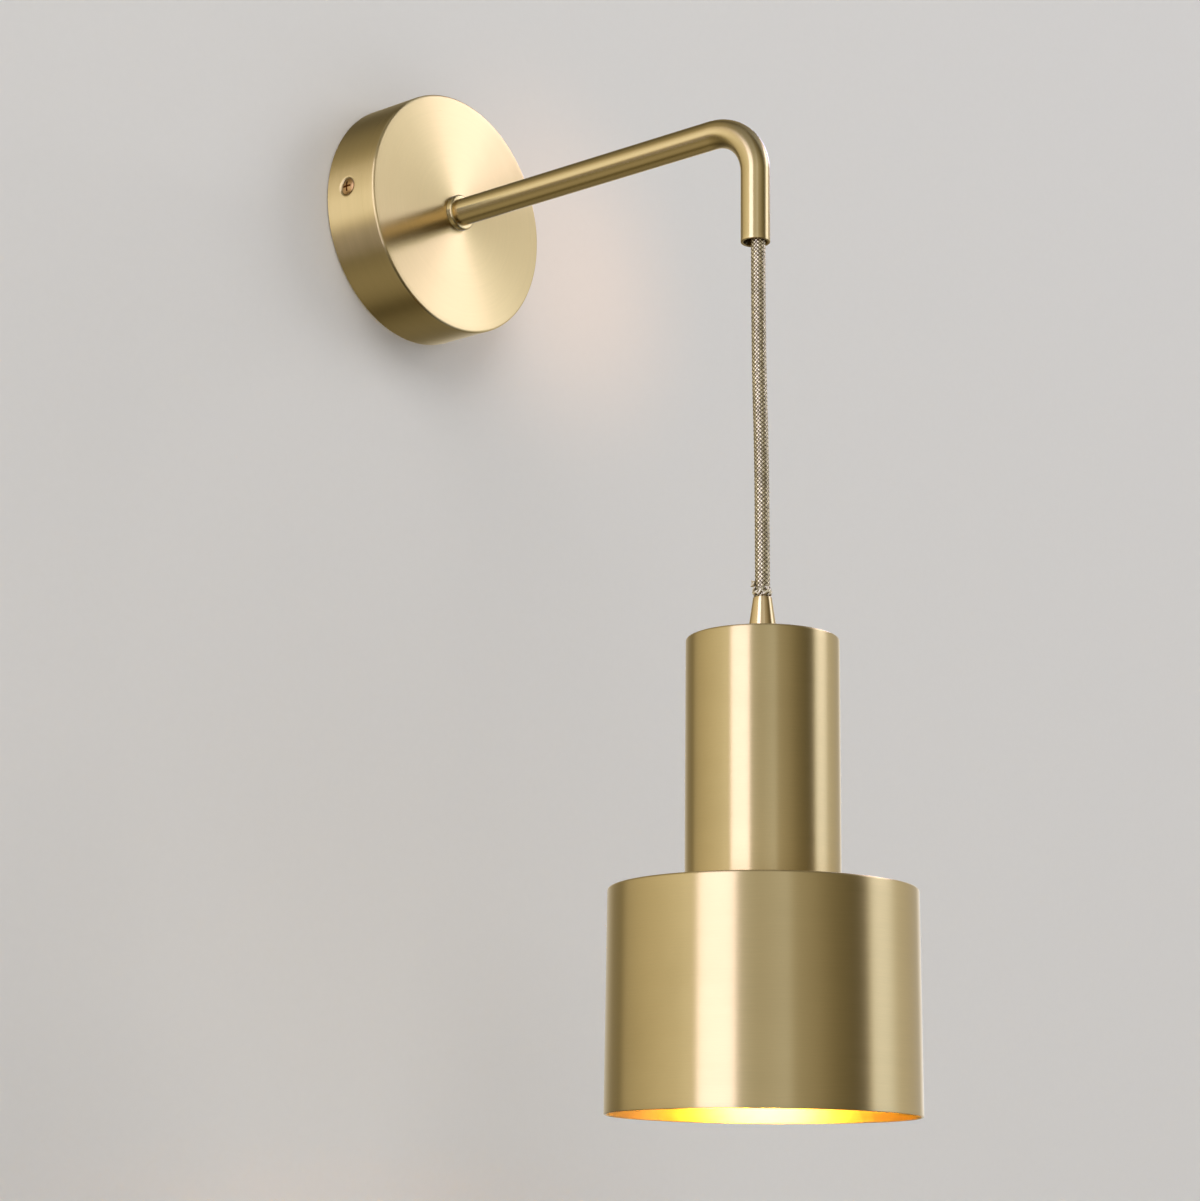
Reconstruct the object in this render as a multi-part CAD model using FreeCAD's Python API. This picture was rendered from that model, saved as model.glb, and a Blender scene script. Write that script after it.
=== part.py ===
"""Hanging pendant wall sconce, in millimetres.

The origin is the middle of the wall bracket's back, on the wall plane. The wall is the plane
Y = 0 and the lamp stands out from it towards -Y. +Z is up. The lamp is the same left and right.
"""
import FreeCAD
import Part
import math
import os

V = FreeCAD.Vector
X = V(1, 0, 0)
Y = V(0, 1, 0)
Z = V(0, 0, 1)

# ---- Driving dimensions ------------------------------------------------------------------

# Canopy: the round dish that covers the wall bracket
CANOPY_R = 54.0
CANOPY_DEPTH = 28.0
CANOPY_WALL = 1.0
CANOPY_EDGE = 1.1            # rounding of the front edge
SINK_R = 4.3                 # mouth of the countersunk side holes
SINK_DEPTH = 2.1             # depth of the countersink's cone
SINK_Y = 12.0                # from the wall to the side screws

# Wall bracket: a bent steel strip behind the canopy
STRIP_T = 1.5
STRIP_W = 20.0
EAR_H = 18.0                 # how far the ears stand out from the wall
BEND_IN_R = 1.0              # inside radius of the ears' bends
EAR_BOSS_R = 3.4
EAR_BOSS_H = 2.0
SLOT_SPACING = 60.0
SLOT_W = 4.5
SLOT_LENGTH = 12.0
CABLE_HOLE_R = 6.0
TAB_W = 25.0
TAB_H = 22.0

# Machine screws and small fits
M4_R = 2.0
M3_R = 1.5
SCREW_FIT = 0.05             # gap between a screw and its tapped hole
HOLE_FIT = 0.2               # gap between a part and a plain hole that it passes
COUNTERSINK_FIT = 0.1        # gap under a countersunk head
CANOPY_SCREW_L = 11.0
HEAD_DOME = 0.8              # rise of the raised heads
CROSS_W = 0.9
CROSS_L = 4.4
CROSS_DEPTH = 1.3
PAN_HEAD_H = 2.4
PAN_HEAD_R = 3.6
PAN_ROUND = 0.45             # rounding of a pan head, as a share of its height
PAN_SLOT_SHARE = 0.14        # half width of its slot, as a share of its radius
PAN_SLOT_DEPTH = 0.5         # depth of its slot, as a share of its height
SMALL_HEAD_R = 2.4
SMALL_HEAD_H = 1.6
TINY = 1e-6                  # for telling whether two places are the same

# Earth connection on the strip
EARTH_X = -16.0
EARTH_SCREW_L = 6.0
EARTH_WASHER_R = 4.2
EARTH_WASHER_T = 0.8
TAG_T = 0.8
TAG_R = 3.9
TAG_BARREL_R = 1.5
TAG_BARREL_L = 5.0

# Terminal block on the strip's tab
BLOCK_W = 20.0
BLOCK_L = 17.0
BLOCK_H = 9.0
BLOCK_LIFT = 2.5             # from the strip's edge to the block
POLE_PITCH = 10.0
TOWER_R = 3.3
TOWER_H = 5.0
TOWER_PITCH = 8.5
CLAMP_R = 2.6
CLAMP_WALL = 0.8
CLAMP_END = 1.0              # the clamps stop this far inside the block
CLAMP_GAP = 0.1
TERMINAL_HEAD_SINK = 0.7

# Arm: a bent tube, held by a hollow thread and a nut
TUBE_R = 6.0
TUBE_WALL = 1.0
ARM_REACH = 193.0            # from the wall to the axis of the tube's end
BEND_R = 22.0
ARM_DROP = 52.0              # from the arm's axis down to the tube's mouth
COLLAR_R = 8.0
COLLAR_T = 3.0
COLLAR_EDGE = 1.3
NIPPLE_WALL = 1.4
NIPPLE_IN_TUBE = 15.0
NIPPLE_OUT = 2.0             # how far the thread passes the nut
WASHER_T = 1.0
WASHER_R = 9.0
NUT_AF = 14.0                # across flats
NUT_H = 5.0

# Cord: textile-braided lamp cord
CORD_R = 2.8
CORD_OFF = 1.4               # the cord leaves the mouth this far in front of the tube's axis
CORD_DROP = 148.0            # visible drop, from the mouth to the grip
CORD_LEAN = 1.8              # the pendant's axis is this far in front of the cord's exit
SWAY_LOW = 25.0              # the fore-and-aft pivot is this far below the mouth
TURN_HIGH = 47.0             # from the mouth down to the point where the lean starts
TURN_LOW = 98.0              # and to the point where it ends
TURN_SHARE = 0.45            # share of the shorter run that an arc takes
SOCKET_GAP = 0.3             # round the ball ends of the cord's stretches
CUFF_H = 8.5
CUFF_R = 4.0
CUFF_TOP_R = 3.2
WIRE_R = 0.9
CORE_R = 2.3
CLAMP_BLOCK_R = 6.5
CLAMP_BLOCK_L = 6.5
CLAMP_FLAT = 5.2
CLAMP_SCREW_R = 1.25
CLAMP_SCREW_Z = 4.4
CORD_STRIP = 1.0             # the braid ends this far behind the clamp
CORE_FAN = 1.2               # spacing of the three wires at the cord's end
WIRE_TURN = 5.4              # from the cord's end to where the wires turn

# Grip and neck
GRIP_H = 17.0
GRIP_TOP_R = 3.4
GRIP_BASE_R = 6.2
GRIP_EDGE = 0.35
STEM_R = 5.0
STEM_L = 12.0
CORE_FIT = 0.3               # gap between the cable core and the bores it passes
FERRULE_R = 4.2
FERRULE_L = 7.0
ROD_GAP = 1.0                # between the ferrule and the rod
ROD_WALL = 1.8
COUPLING_L = 24.0
NECK_R = 30.0
NECK_H = 98.0
NECK_WALL = 1.0
NECK_EDGE = 1.0

# Shade
SHADE_TOP_R = 59.5
SHADE_FLARE = 0.5            # how much wider the shade is at its rim than at its top
SHADE_H = 85.0
SHADE_WALL = 1.0
SHADE_EDGE = 1.0
RING_R = 27.0
RING_FLANGE = 2.0
RING_SLEEVE = 2.4
RING_H = 6.0

# Lampholder
SLEEVE_R = 19.0
SLEEVE_WALL = 1.6
SLEEVE_ABOVE = 16.0          # how far the sleeve stands above the shade's top
SLEEVE_BELOW = 22.0          # how far it hangs below it
THREAD_PITCH = 2.0
THREAD_DEPTH = 0.35
LIP_R = 14.6
LIP_T = 1.6
CAP_WALL = 1.6
CAP_FLOOR = 2.2              # thickness of the dome under the boss
CAP_SKIRT = 11.0
CAP_DOME = 10.0
CAP_BOSS_R = 8.0
CAP_BOSS_H = 6.0
CAP_OVER_SLEEVE = 8.0
CAP_SCREW_R = 1.25
INSERT_T = 7.0               # insulating disc that carries the contacts
INSERT_UNDER = 3.0           # the disc's top is this far below the sleeve's top
SHELL_R = 14.1
SHELL_WALL = 0.4
SHELL_L = 24.0
CONTACT_R = 4.0
CONTACT_T = 0.6
CONTACT_DROP = 2.0
TERMINAL_X = 9.0
TERMINAL_SIZE = 5.0
LOCK_NUT_H = 4.0
CORE_TAIL = 2.0              # cable core that shows inside the cap
LEAD_OUT = 0.3               # the leads turn outwards after this share of their drop
LEAD_DOWN = 0.5              # and down again after this share

# Bulb
BULB_GAP = 0.3               # between the bulb and the spring contact
TIP_R = 4.6
TIP_H = 1.0
GLASS_H = 3.0
GLASS_R = 9.6
CAP_TURNS = 5
CAP_PITCH = 3.6
BULB_CAP_R = 13.2
BULB_CAP_DEPTH = 0.9
BULB_CAP_WALL = 0.5
CAP_FLARE = 3.7
HOUSING_H = 10.0
GLOBE_R = 22.5
GLOBE_WALL = 1.0
BOARD_R = 15.0
BOARD_T = 1.2

# ---- Places worked out from the dimensions ----------------------------------------------

TUBE_BORE = TUBE_R - TUBE_WALL
NIPPLE_R = TUBE_BORE
TUBE_START = CANOPY_DEPTH + COLLAR_T
MOUTH_Z = -ARM_DROP
EXIT_Y = -(ARM_REACH + CORD_OFF)
AXIS_Y = EXIT_Y - CORD_LEAN
SWAY_Z = MOUTH_Z - SWAY_LOW
GRIP_Z = MOUTH_Z - CORD_DROP
NECK_Z = GRIP_Z - GRIP_H
SHADE_Z = NECK_Z - NECK_H
RIM_Z = SHADE_Z - SHADE_H
PLATE_Z = SHADE_Z - SHADE_WALL
EAR_X = CANOPY_R - SINK_DEPTH - CANOPY_WALL
HEAD_SLOPE = (SINK_R - M4_R - HOLE_FIT) / SINK_DEPTH
NUT_FACE = CANOPY_DEPTH - CANOPY_WALL - WASHER_T - NUT_H
NIPPLE_END = NUT_FACE - NIPPLE_OUT
CORD_END = NIPPLE_END - CLAMP_BLOCK_L - CORD_STRIP
BLOCK_Z = STRIP_W / 2 + BLOCK_LIFT
POLE_DEPTH = STRIP_T + BLOCK_H / 2
STEM_Z = NECK_Z - STEM_L
FERRULE_Z = STEM_Z - FERRULE_L
ROD_TOP = FERRULE_Z - ROD_GAP
COUPLING_TOP = NECK_Z - NECK_WALL - WASHER_T
SLEEVE_TOP = SHADE_Z + SLEEVE_ABOVE
SLEEVE_END = PLATE_Z - SLEEVE_BELOW
CAP_IN_R = SLEEVE_R + HOLE_FIT
CAP_R = CAP_IN_R + CAP_WALL
CAP_END = SLEEVE_TOP - CAP_OVER_SLEEVE
DOME_Z = CAP_END + CAP_SKIRT
BOSS_Z = DOME_Z + CAP_DOME
CAP_TOP = BOSS_Z + CAP_BOSS_H
ROD_END = BOSS_Z - CAP_WALL
INSERT_TOP = SLEEVE_TOP - INSERT_UNDER
INSERT_Z = INSERT_TOP - INSERT_T
BULB_TOP = INSERT_Z - CONTACT_DROP - CONTACT_T - BULB_GAP
GLASS_Z = BULB_TOP - TIP_H
SCREW_CAP_Z = GLASS_Z - GLASS_H
SCREW_CAP_END = SCREW_CAP_Z - CAP_TURNS * CAP_PITCH
HOUSING_Z = SCREW_CAP_END - CAP_FLARE
GLOBE_TOP = HOUSING_Z - HOUSING_H
HOUSING_R = math.sqrt(GLOBE_R ** 2 - (GLOBE_R / 2) ** 2)
GLOBE_Z = GLOBE_TOP - GLOBE_R / 2


# ---- Helpers ------------------------------------------------------------------------------

def rod(radius, start, end):
    """A round bar between two points."""
    span = end - start
    return Part.makeCylinder(radius, span.Length, start, span)


def cone(radius, end_radius, start, end):
    """A cone between two points."""
    span = end - start
    return Part.makeCone(radius, end_radius, span.Length, start, span)


def box(low, high):
    """A box from its lowest to its highest corner."""
    size = high - low
    return Part.makeBox(size.x, size.y, size.z, low)


def fused(shapes):
    """Several touching solids made one."""
    return shapes[0].multiFuse(shapes[1:]).removeSplitter()


def hexagon(across, start, end):
    """A hexagonal prism with its corners turned off, between two points on its axis."""
    span = end - start
    circumradius = across / math.sqrt(3)
    side = V(0, 0, 1) if abs(span.z) < 0.5 * span.Length else V(1, 0, 0)
    other = span.cross(side).normalize()
    corners = []
    for step in range(7):
        turn = math.radians(60 * step)
        corners.append(start + side * circumradius * math.cos(turn) + other * circumradius * math.sin(turn))
    prism = Part.Face(Part.makePolygon(corners)).extrude(span)
    chamfer = V(span).normalize() * (circumradius - across / 2) / 2
    turned = rod(circumradius, start + chamfer, end - chamfer)
    lower = cone(across / 2, circumradius, start, start + chamfer)
    upper = cone(circumradius, across / 2, end - chamfer, end)
    return prism.common(fused([turned, lower, upper]))


def lathe(points):
    """A ring turned about the pendant's axis from points (radius, height)."""
    corners = [V(radius, AXIS_Y, height) for radius, height in points]
    face = Part.Face(Part.makePolygon(corners + corners[:1]))
    return face.revolve(V(0, AXIS_Y, 0), Z, 360)


def round_edges(shape, radius, wanted):
    """The shape with the circular edges that pass a test rounded."""
    edges = [edge for edge in shape.Edges if isinstance(edge.Curve, Part.Circle) and wanted(edge.Curve)]
    return shape.makeFillet(radius, edges)


def on_axis(height, x=0.0, y=0.0):
    """A point at a height on the pendant's axis, or beside it."""
    return V(x, AXIS_Y + y, height)


def path_edges(points, share):
    """Straight runs joined by tangent arcs, each as large as its two runs allow."""
    edges = []
    radii = []
    last = points[0]
    for before, corner, after in zip(points, points[1:], points[2:]):
        come = (corner - before).normalize()
        leave = (after - corner).normalize()
        half = come.getAngle(leave) / 2
        reach = share * min((corner - before).Length, (after - corner).Length)
        radius = reach / math.tan(half)
        start = corner - come * reach
        end = corner + leave * reach
        inward = (leave - come).normalize()
        middle = corner + inward * (radius / math.cos(half) - radius)
        edges.append(Part.makeLine(last, start))
        edges.append(Part.Arc(start, middle, end).toShape())
        radii.append(radius)
        last = end
    edges.append(Part.makeLine(last, points[-1]))
    return edges, radii


def sweep(name, points, radius, share=TURN_SHARE):
    """A round cord or wire along straight runs and tangent arcs."""
    edges, radii = path_edges(points, share)
    path = Part.Wire(edges)
    section = Part.Wire([Part.makeCircle(radius, points[0], points[1] - points[0])])
    solid = path.makePipeShell([section], True, False)
    expected = math.pi * radius ** 2 * path.Length
    print(name, "length", round(path.Length, 1), "radii", [round(r, 1) for r in radii],
          "volume share", round(solid.Volume / expected, 4))
    return solid


def pan_screw(out, seat, head_r, head_h, shank_r, length):
    """A slotted pan-head screw. Its head stands on the seat in the direction out."""
    top = seat + out * head_h
    head = rod(head_r, seat, top)
    head = round_edges(head, head_h * PAN_ROUND, lambda c: c.Center.isEqual(top, TINY))
    shank = rod(shank_r, seat - out * length, seat)
    side = V(abs(out.z), abs(out.x), abs(out.y))
    long = side * head_r * 2
    wide = out.cross(side) * head_r * PAN_SLOT_SHARE
    corners = [top + long + wide, top + long - wide, top - long - wide, top - long + wide]
    slot = Part.Face(Part.makePolygon(corners + corners[:1])).extrude(out * head_h * -PAN_SLOT_DEPTH)
    return fused([head, shank]).cut(slot)


def group(solids):
    """Identical separate pieces kept in one file."""
    return Part.makeCompound(solids)


# ---- Wall bracket and canopy ----------------------------------------------------------------

def ear_side(sign, inset=0.0, height=0.0):
    """A point on a side screw's axis, measured inwards from the ear's outer face."""
    return V(sign * (EAR_X - inset), -SINK_Y, height)


def upright_edges(shape, y):
    """A box's vertical edges in the plane at Y = y."""
    middles = [(edge, edge.CenterOfMass) for edge in shape.Edges]
    return [edge for edge, middle in middles if abs(middle.y - y) < TINY and abs(middle.z) < TINY]


def wall_bracket():
    """The strip with its ears bent towards the room, slots, cable hole and terminal tab."""
    outer = box(V(-EAR_X, -EAR_H, -STRIP_W / 2), V(EAR_X, 0, STRIP_W / 2))
    inner = box(V(-EAR_X + STRIP_T, -EAR_H - STRIP_T, -STRIP_W), V(EAR_X - STRIP_T, -STRIP_T, STRIP_W))
    outer_bends = upright_edges(outer, 0)
    inner_bends = upright_edges(inner, -STRIP_T)
    strip = outer.makeFillet(BEND_IN_R + STRIP_T, outer_bends).cut(inner.makeFillet(BEND_IN_R, inner_bends))
    tab = box(V(-TAB_W / 2, -STRIP_T, 0), V(TAB_W / 2, 0, STRIP_W / 2 + TAB_H))
    bosses = []
    for sign in (-1, 1):
        bosses.append(rod(EAR_BOSS_R, ear_side(sign), ear_side(sign, STRIP_T + EAR_BOSS_H)))
    body = fused([strip, tab] + bosses)
    cuts = [rod(CABLE_HOLE_R, V(0, -STRIP_T * 2, 0), V(0, STRIP_T, 0))]
    for sign in (-1, 1):
        cuts.append(rod(M4_R + SCREW_FIT, ear_side(sign, -STRIP_T), ear_side(sign, 3 * EAR_BOSS_H)))
        reach = (SLOT_LENGTH - SLOT_W) / 2
        middle = sign * SLOT_SPACING / 2
        cuts.append(box(V(middle - reach, -STRIP_T * 2, -SLOT_W / 2), V(middle + reach, STRIP_T, SLOT_W / 2)))
        for end in (middle - reach, middle + reach):
            cuts.append(rod(SLOT_W / 2, V(end, -STRIP_T * 2, 0), V(end, STRIP_T, 0)))
    cuts.append(rod(M4_R + SCREW_FIT, V(EARTH_X, -STRIP_T * 2, 0), V(EARTH_X, STRIP_T, 0)))
    block_hole = BLOCK_Z + BLOCK_L / 2
    cuts.append(rod(M3_R + SCREW_FIT, V(0, -STRIP_T * 2, block_hole), V(0, STRIP_T, block_hole)))
    return body.cut(cuts).removeSplitter()


def canopy():
    """The dish, with its arm hole and two pressed countersinks for the side screws."""
    dish = rod(CANOPY_R, V(0, 0, 0), V(0, -CANOPY_DEPTH, 0))
    dish = round_edges(dish, CANOPY_EDGE, lambda c: abs(c.Center.y + CANOPY_DEPTH) < TINY)
    floor = CANOPY_DEPTH - CANOPY_WALL
    hollow = rod(CANOPY_R - CANOPY_WALL, V(0, 1, 0), V(0, -floor, 0))
    dish = dish.cut(hollow)
    tip_r = SINK_R - HEAD_SLOPE * SINK_DEPTH
    for sign in (-1, 1):
        mouth = ear_side(sign, EAR_X - CANOPY_R)
        tip = ear_side(sign, EAR_X - CANOPY_R + SINK_DEPTH)
        cup = cone(SINK_R + CANOPY_WALL, tip_r + CANOPY_WALL, ear_side(sign, -SINK_DEPTH), ear_side(sign))
        dish = dish.fuse(cup.common(rod(CANOPY_R, V(0, 0, 0), V(0, -CANOPY_DEPTH, 0))))
        proud = sign * X * (SINK_DEPTH / 2)
        wide = SINK_R + HEAD_SLOPE * SINK_DEPTH / 2
        sink = cone(wide, tip_r, mouth + proud, tip)
        dish = dish.cut(sink).cut(rod(tip_r, tip, ear_side(sign, STRIP_T)))
    hole = rod(NIPPLE_R + HOLE_FIT, V(0, -CANOPY_DEPTH - 1, 0), V(0, 0, 0))
    return dish.cut(hole).removeSplitter()


def canopy_screws():
    """Raised countersunk screws with crossed slots, one at each side."""
    head_depth = (SINK_DEPTH - COUNTERSINK_FIT) * 0.75
    head_r = M4_R + HEAD_SLOPE * head_depth
    dome_r = (head_r ** 2 + HEAD_DOME ** 2) / (2 * HEAD_DOME)
    screws = []
    for sign in (-1, 1):
        neck = ear_side(sign, -CANOPY_WALL - COUNTERSINK_FIT)
        rim = neck + sign * X * head_depth
        top = rim + sign * X * HEAD_DOME
        head = cone(M4_R, head_r, neck, rim)
        dome = Part.makeSphere(dome_r, top - sign * X * dome_r).common(rod(head_r, rim, top + sign * X))
        shank = rod(M4_R, neck, neck - sign * X * CANOPY_SCREW_L)
        screw = fused([shank, head, dome])
        for tall, wide in ((CROSS_L, CROSS_W), (CROSS_W, CROSS_L)):
            low = V(-HEAD_DOME, -wide / 2, -tall / 2)
            high = V(CROSS_DEPTH, wide / 2, tall / 2)
            if sign > 0:
                low.x, high.x = -CROSS_DEPTH, HEAD_DOME
            screw = screw.cut(box(top + low, top + high))
        screws.append(screw)
    return group(screws)


def earth_parts():
    """Earth screw, its washer and the tag on the earth wire, stacked on the strip."""
    tag_face = V(EARTH_X, -STRIP_T - TAG_T, 0)
    washer_face = tag_face - Y * EARTH_WASHER_T
    hole = rod(M4_R + SCREW_FIT, V(EARTH_X, 0, 0), V(EARTH_X, -CANOPY_DEPTH, 0))
    ring = rod(TAG_R, V(EARTH_X, -STRIP_T, 0), tag_face)
    barrel_start = V(EARTH_X + TAG_R - TAG_T, -STRIP_T - TAG_BARREL_R, 0)
    barrel = rod(TAG_BARREL_R, barrel_start, barrel_start + X * TAG_BARREL_L)
    bore = rod(WIRE_R + SCREW_FIT, barrel_start + X * TAG_T, barrel_start + X * (TAG_BARREL_L + 1))
    tag = fused([ring, barrel]).cut(hole).cut(bore)
    washer_space = rod(EARTH_WASHER_R + HOLE_FIT, tag_face, tag_face - Y * (EARTH_WASHER_T + PAN_HEAD_H))
    tag = tag.cut(washer_space)
    washer = rod(EARTH_WASHER_R, tag_face, washer_face).cut(hole)
    screw = pan_screw(V(0, -1, 0), washer_face, PAN_HEAD_R, PAN_HEAD_H, M4_R, EARTH_SCREW_L - PAN_HEAD_H)
    return {"earth_tag": tag, "earth_washer": washer, "earth_screw": screw}


# ---- Terminal block ---------------------------------------------------------------------------

def pole_places():
    """The two poles' X and the two screws' Z on the terminal block."""
    middle = BLOCK_Z + BLOCK_L / 2
    heights = (middle - TOWER_PITCH / 2, middle + TOWER_PITCH / 2)
    return (-POLE_PITCH / 2, POLE_PITCH / 2), heights


def terminal_parts():
    """A two-pole block with its brass clamps, its screws and the screw that holds it."""
    face = STRIP_T + BLOCK_H
    poles, heights = pole_places()
    middle = V(0, -face, BLOCK_Z + BLOCK_L / 2)
    body = [box(V(-BLOCK_W / 2, -face, BLOCK_Z), V(BLOCK_W / 2, -STRIP_T, BLOCK_Z + BLOCK_L))]
    bores = [rod(M3_R + HOLE_FIT, middle + Y * face, middle - Y)]
    clamps = []
    screws = []
    wire_top = POLE_DEPTH + WIRE_R
    for x in poles:
        low = V(x, -POLE_DEPTH, BLOCK_Z)
        high = V(x, -POLE_DEPTH, BLOCK_Z + BLOCK_L)
        bores.append(rod(CLAMP_R + CLAMP_GAP, low - Z, high + Z))
        tube = rod(CLAMP_R, low + Z * CLAMP_END, high - Z * CLAMP_END)
        tube = tube.cut(rod(CLAMP_R - CLAMP_WALL, low, high))
        for z in heights:
            tower_top = V(x, -face - TOWER_H, z)
            head = tower_top + Y * TERMINAL_HEAD_SINK
            body.append(rod(TOWER_R, V(x, -face, z), tower_top))
            bores.append(rod(M3_R + HOLE_FIT, tower_top - Y, V(x, -POLE_DEPTH, z)))
            tube = tube.cut(rod(M3_R + SCREW_FIT, V(x, -POLE_DEPTH, z), V(x, -face, z)))
            screw = rod(M3_R, head, V(x, -wire_top, z))
            slot_low = V(-M3_R * 2, -1, -CROSS_W / 3)
            slot = box(head + slot_low, head + V(M3_R * 2, CROSS_DEPTH / 2, CROSS_W / 3))
            screws.append(screw.cut(slot))
        clamps.append(tube)
    block = fused(body).cut(bores).removeSplitter()
    length = BLOCK_H + STRIP_T
    block_screw = pan_screw(V(0, -1, 0), middle, SMALL_HEAD_R, SMALL_HEAD_H, M3_R, length)
    return {"terminal_block": block, "terminal_clamps": group(clamps), "terminal_screws": group(screws),
            "block_screw": block_screw}


# ---- Arm ----------------------------------------------------------------------------------------

def bent_bar(radius, start_y, end_z, offset=0.0):
    """A round bar along -Y that bends down at the arm's end. offset shifts its down leg forward."""
    bend_y = -(ARM_REACH + offset) + BEND_R
    straight = rod(radius, V(0, start_y, 0), V(0, bend_y, 0))
    disc = Part.Face(Part.Wire([Part.makeCircle(radius, V(0, bend_y, 0), Y)]))
    bend = disc.revolve(V(0, bend_y, -BEND_R), X, 90)
    drop = rod(radius, V(0, bend_y - BEND_R, -BEND_R), V(0, bend_y - BEND_R, end_z))
    return fused([straight, bend, drop])


def arm_parts():
    """The bent tube, the collar at its foot, and the thread, washer and nut that hold it."""
    tube = bent_bar(TUBE_R, -TUBE_START, MOUTH_Z).cut(bent_bar(TUBE_BORE, -TUBE_START + 1, MOUTH_Z - 1))
    collar = rod(COLLAR_R, V(0, -CANOPY_DEPTH, 0), V(0, -TUBE_START, 0))
    collar = round_edges(collar, COLLAR_EDGE, lambda c: c.Radius > NIPPLE_R + 1)
    passage = rod(NIPPLE_R + HOLE_FIT, V(0, 0, 0), V(0, -TUBE_START - 1, 0))
    nipple = rod(NIPPLE_R - SCREW_FIT, V(0, -NIPPLE_END, 0), V(0, -TUBE_START - NIPPLE_IN_TUBE, 0))
    nipple = nipple.cut(rod(NIPPLE_R - NIPPLE_WALL, V(0, 0, 0), V(0, -ARM_REACH, 0)))
    inner = CANOPY_DEPTH - CANOPY_WALL
    washer = rod(WASHER_R, V(0, -inner, 0), V(0, -inner + WASHER_T, 0)).cut(passage)
    nut = hexagon(NUT_AF, V(0, -inner + WASHER_T, 0), V(0, -NUT_FACE, 0))
    nut = nut.cut(rod(NIPPLE_R, V(0, 0, 0), V(0, -CANOPY_DEPTH, 0)))
    return {"arm_tube": tube, "arm_collar": collar.cut(passage), "arm_nipple": nipple,
            "arm_washer": washer, "arm_nut": nut}


def cord_clamp_parts():
    """The plastic clamp that grips the cord behind the arm's nut."""
    start = V(0, -NIPPLE_END, 0)
    end = V(0, -NIPPLE_END + CLAMP_BLOCK_L, 0)
    block = rod(CLAMP_BLOCK_R, start, end)
    flats = box(V(-CLAMP_FLAT, -NIPPLE_END, -CLAMP_BLOCK_R), V(CLAMP_FLAT, 0, CLAMP_BLOCK_R))
    slit = box(V(-CORE_FAN / 2, -NIPPLE_END - 1, 0), V(CORE_FAN / 2, 0, CLAMP_BLOCK_R + 1))
    middle = V(0, -NIPPLE_END + CLAMP_BLOCK_L / 2, CLAMP_SCREW_Z)
    seat = middle + X * CLAMP_FLAT
    hole = rod(CLAMP_SCREW_R + SCREW_FIT, middle - X * CLAMP_BLOCK_R, middle + X * CLAMP_BLOCK_R)
    block = block.common(flats).cut([rod(CORD_R + SCREW_FIT, start - Y, end + Y), slit, hole])
    screw = pan_screw(X, seat, SMALL_HEAD_R - 0.4, SMALL_HEAD_H, CLAMP_SCREW_R, 2 * CLAMP_FLAT - 1)
    return {"cord_clamp": block, "clamp_screw": screw}


# ---- Cord and wires ---------------------------------------------------------------------------

def arm_cord():
    """The cord inside the arm, ending in a hollow seat for the ball end of the free cord."""
    cord = bent_bar(CORD_R, -CORD_END, MOUTH_Z, CORD_OFF)
    straight = ARM_REACH + CORD_OFF - BEND_R - CORD_END
    length = straight + BEND_R * math.pi / 2 + ARM_DROP - BEND_R
    print("arm_cord length", round(length, 1), "volume share",
          round(cord.Volume / (math.pi * CORD_R ** 2 * length), 4))
    return cord.cut(Part.makeSphere(CORD_R + SOCKET_GAP, V(0, EXIT_Y, MOUTH_Z)))


def free_cord_parts():
    """The visible cord in two stretches that meet in a ball and a seat at the sway pivot."""
    mouth = V(0, EXIT_Y, MOUTH_Z)
    pivot = V(0, EXIT_Y, SWAY_Z)
    upper = fused([rod(CORD_R, mouth, pivot), Part.makeSphere(CORD_R, mouth)])
    upper = upper.cut(Part.makeSphere(CORD_R + SOCKET_GAP, pivot))
    route = [mouth, V(0, EXIT_Y, MOUTH_Z - TURN_HIGH), V(0, AXIS_Y, MOUTH_Z - TURN_LOW), V(0, AXIS_Y, GRIP_Z)]
    whole = sweep("free cord", route, CORD_R)
    below = box(V(-CORD_R * 2, AXIS_Y - CORD_R * 2, GRIP_Z - 1), V(CORD_R * 2, EXIT_Y + CORD_R * 2, SWAY_Z))
    lower = fused([whole.common(below), Part.makeSphere(CORD_R, pivot)])
    cuff_top = GRIP_Z + CUFF_H
    cuff = fused([cone(CORD_R + SOCKET_GAP, CUFF_TOP_R, on_axis(cuff_top), on_axis(cuff_top - CUFF_H / 4)),
                  cone(CUFF_TOP_R, CUFF_R, on_axis(cuff_top - CUFF_H / 4), on_axis(cuff_top - CUFF_H / 2)),
                  rod(CUFF_R, on_axis(cuff_top - CUFF_H / 2), on_axis(GRIP_Z))])
    cuff = cuff.cut(rod(CORD_R, on_axis(GRIP_Z - 1), on_axis(cuff_top + 1)))
    return {"cord_upper": upper, "cord_lower": lower, "braid_cuff": cuff}


def wires():
    """The three wires from the cord's end to the terminals and the earth tag."""
    end = -CORD_END
    poles, _ = pole_places()
    shapes = {}
    for name, x, pole in (("wire_live", -CORE_FAN, poles[0]), ("wire_neutral", CORE_FAN, poles[1])):
        stop = BLOCK_Z + BLOCK_L - CLAMP_END * 2
        route = [V(x, end, CORE_FAN / 2), V(x, end + WIRE_TURN, CORE_FAN / 2),
                 V(pole, -POLE_DEPTH, BLOCK_Z - WIRE_R * 2), V(pole, -POLE_DEPTH, stop)]
        shapes[name] = sweep(name, route, WIRE_R)
    barrel = EARTH_X + TAG_R - TAG_T + TAG_BARREL_L
    depth = -STRIP_T - TAG_BARREL_R
    route = [V(0, end, -CORE_FAN), V(0, end + WIRE_TURN, -CORE_FAN), V(barrel + WIRE_R * 3, depth, 0),
             V(barrel - TAG_BARREL_L + TAG_T * 2, depth, 0)]
    shapes["wire_earth"] = sweep("wire_earth", route, WIRE_R)
    return shapes


# ---- Grip, neck and rod ---------------------------------------------------------------------

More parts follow.
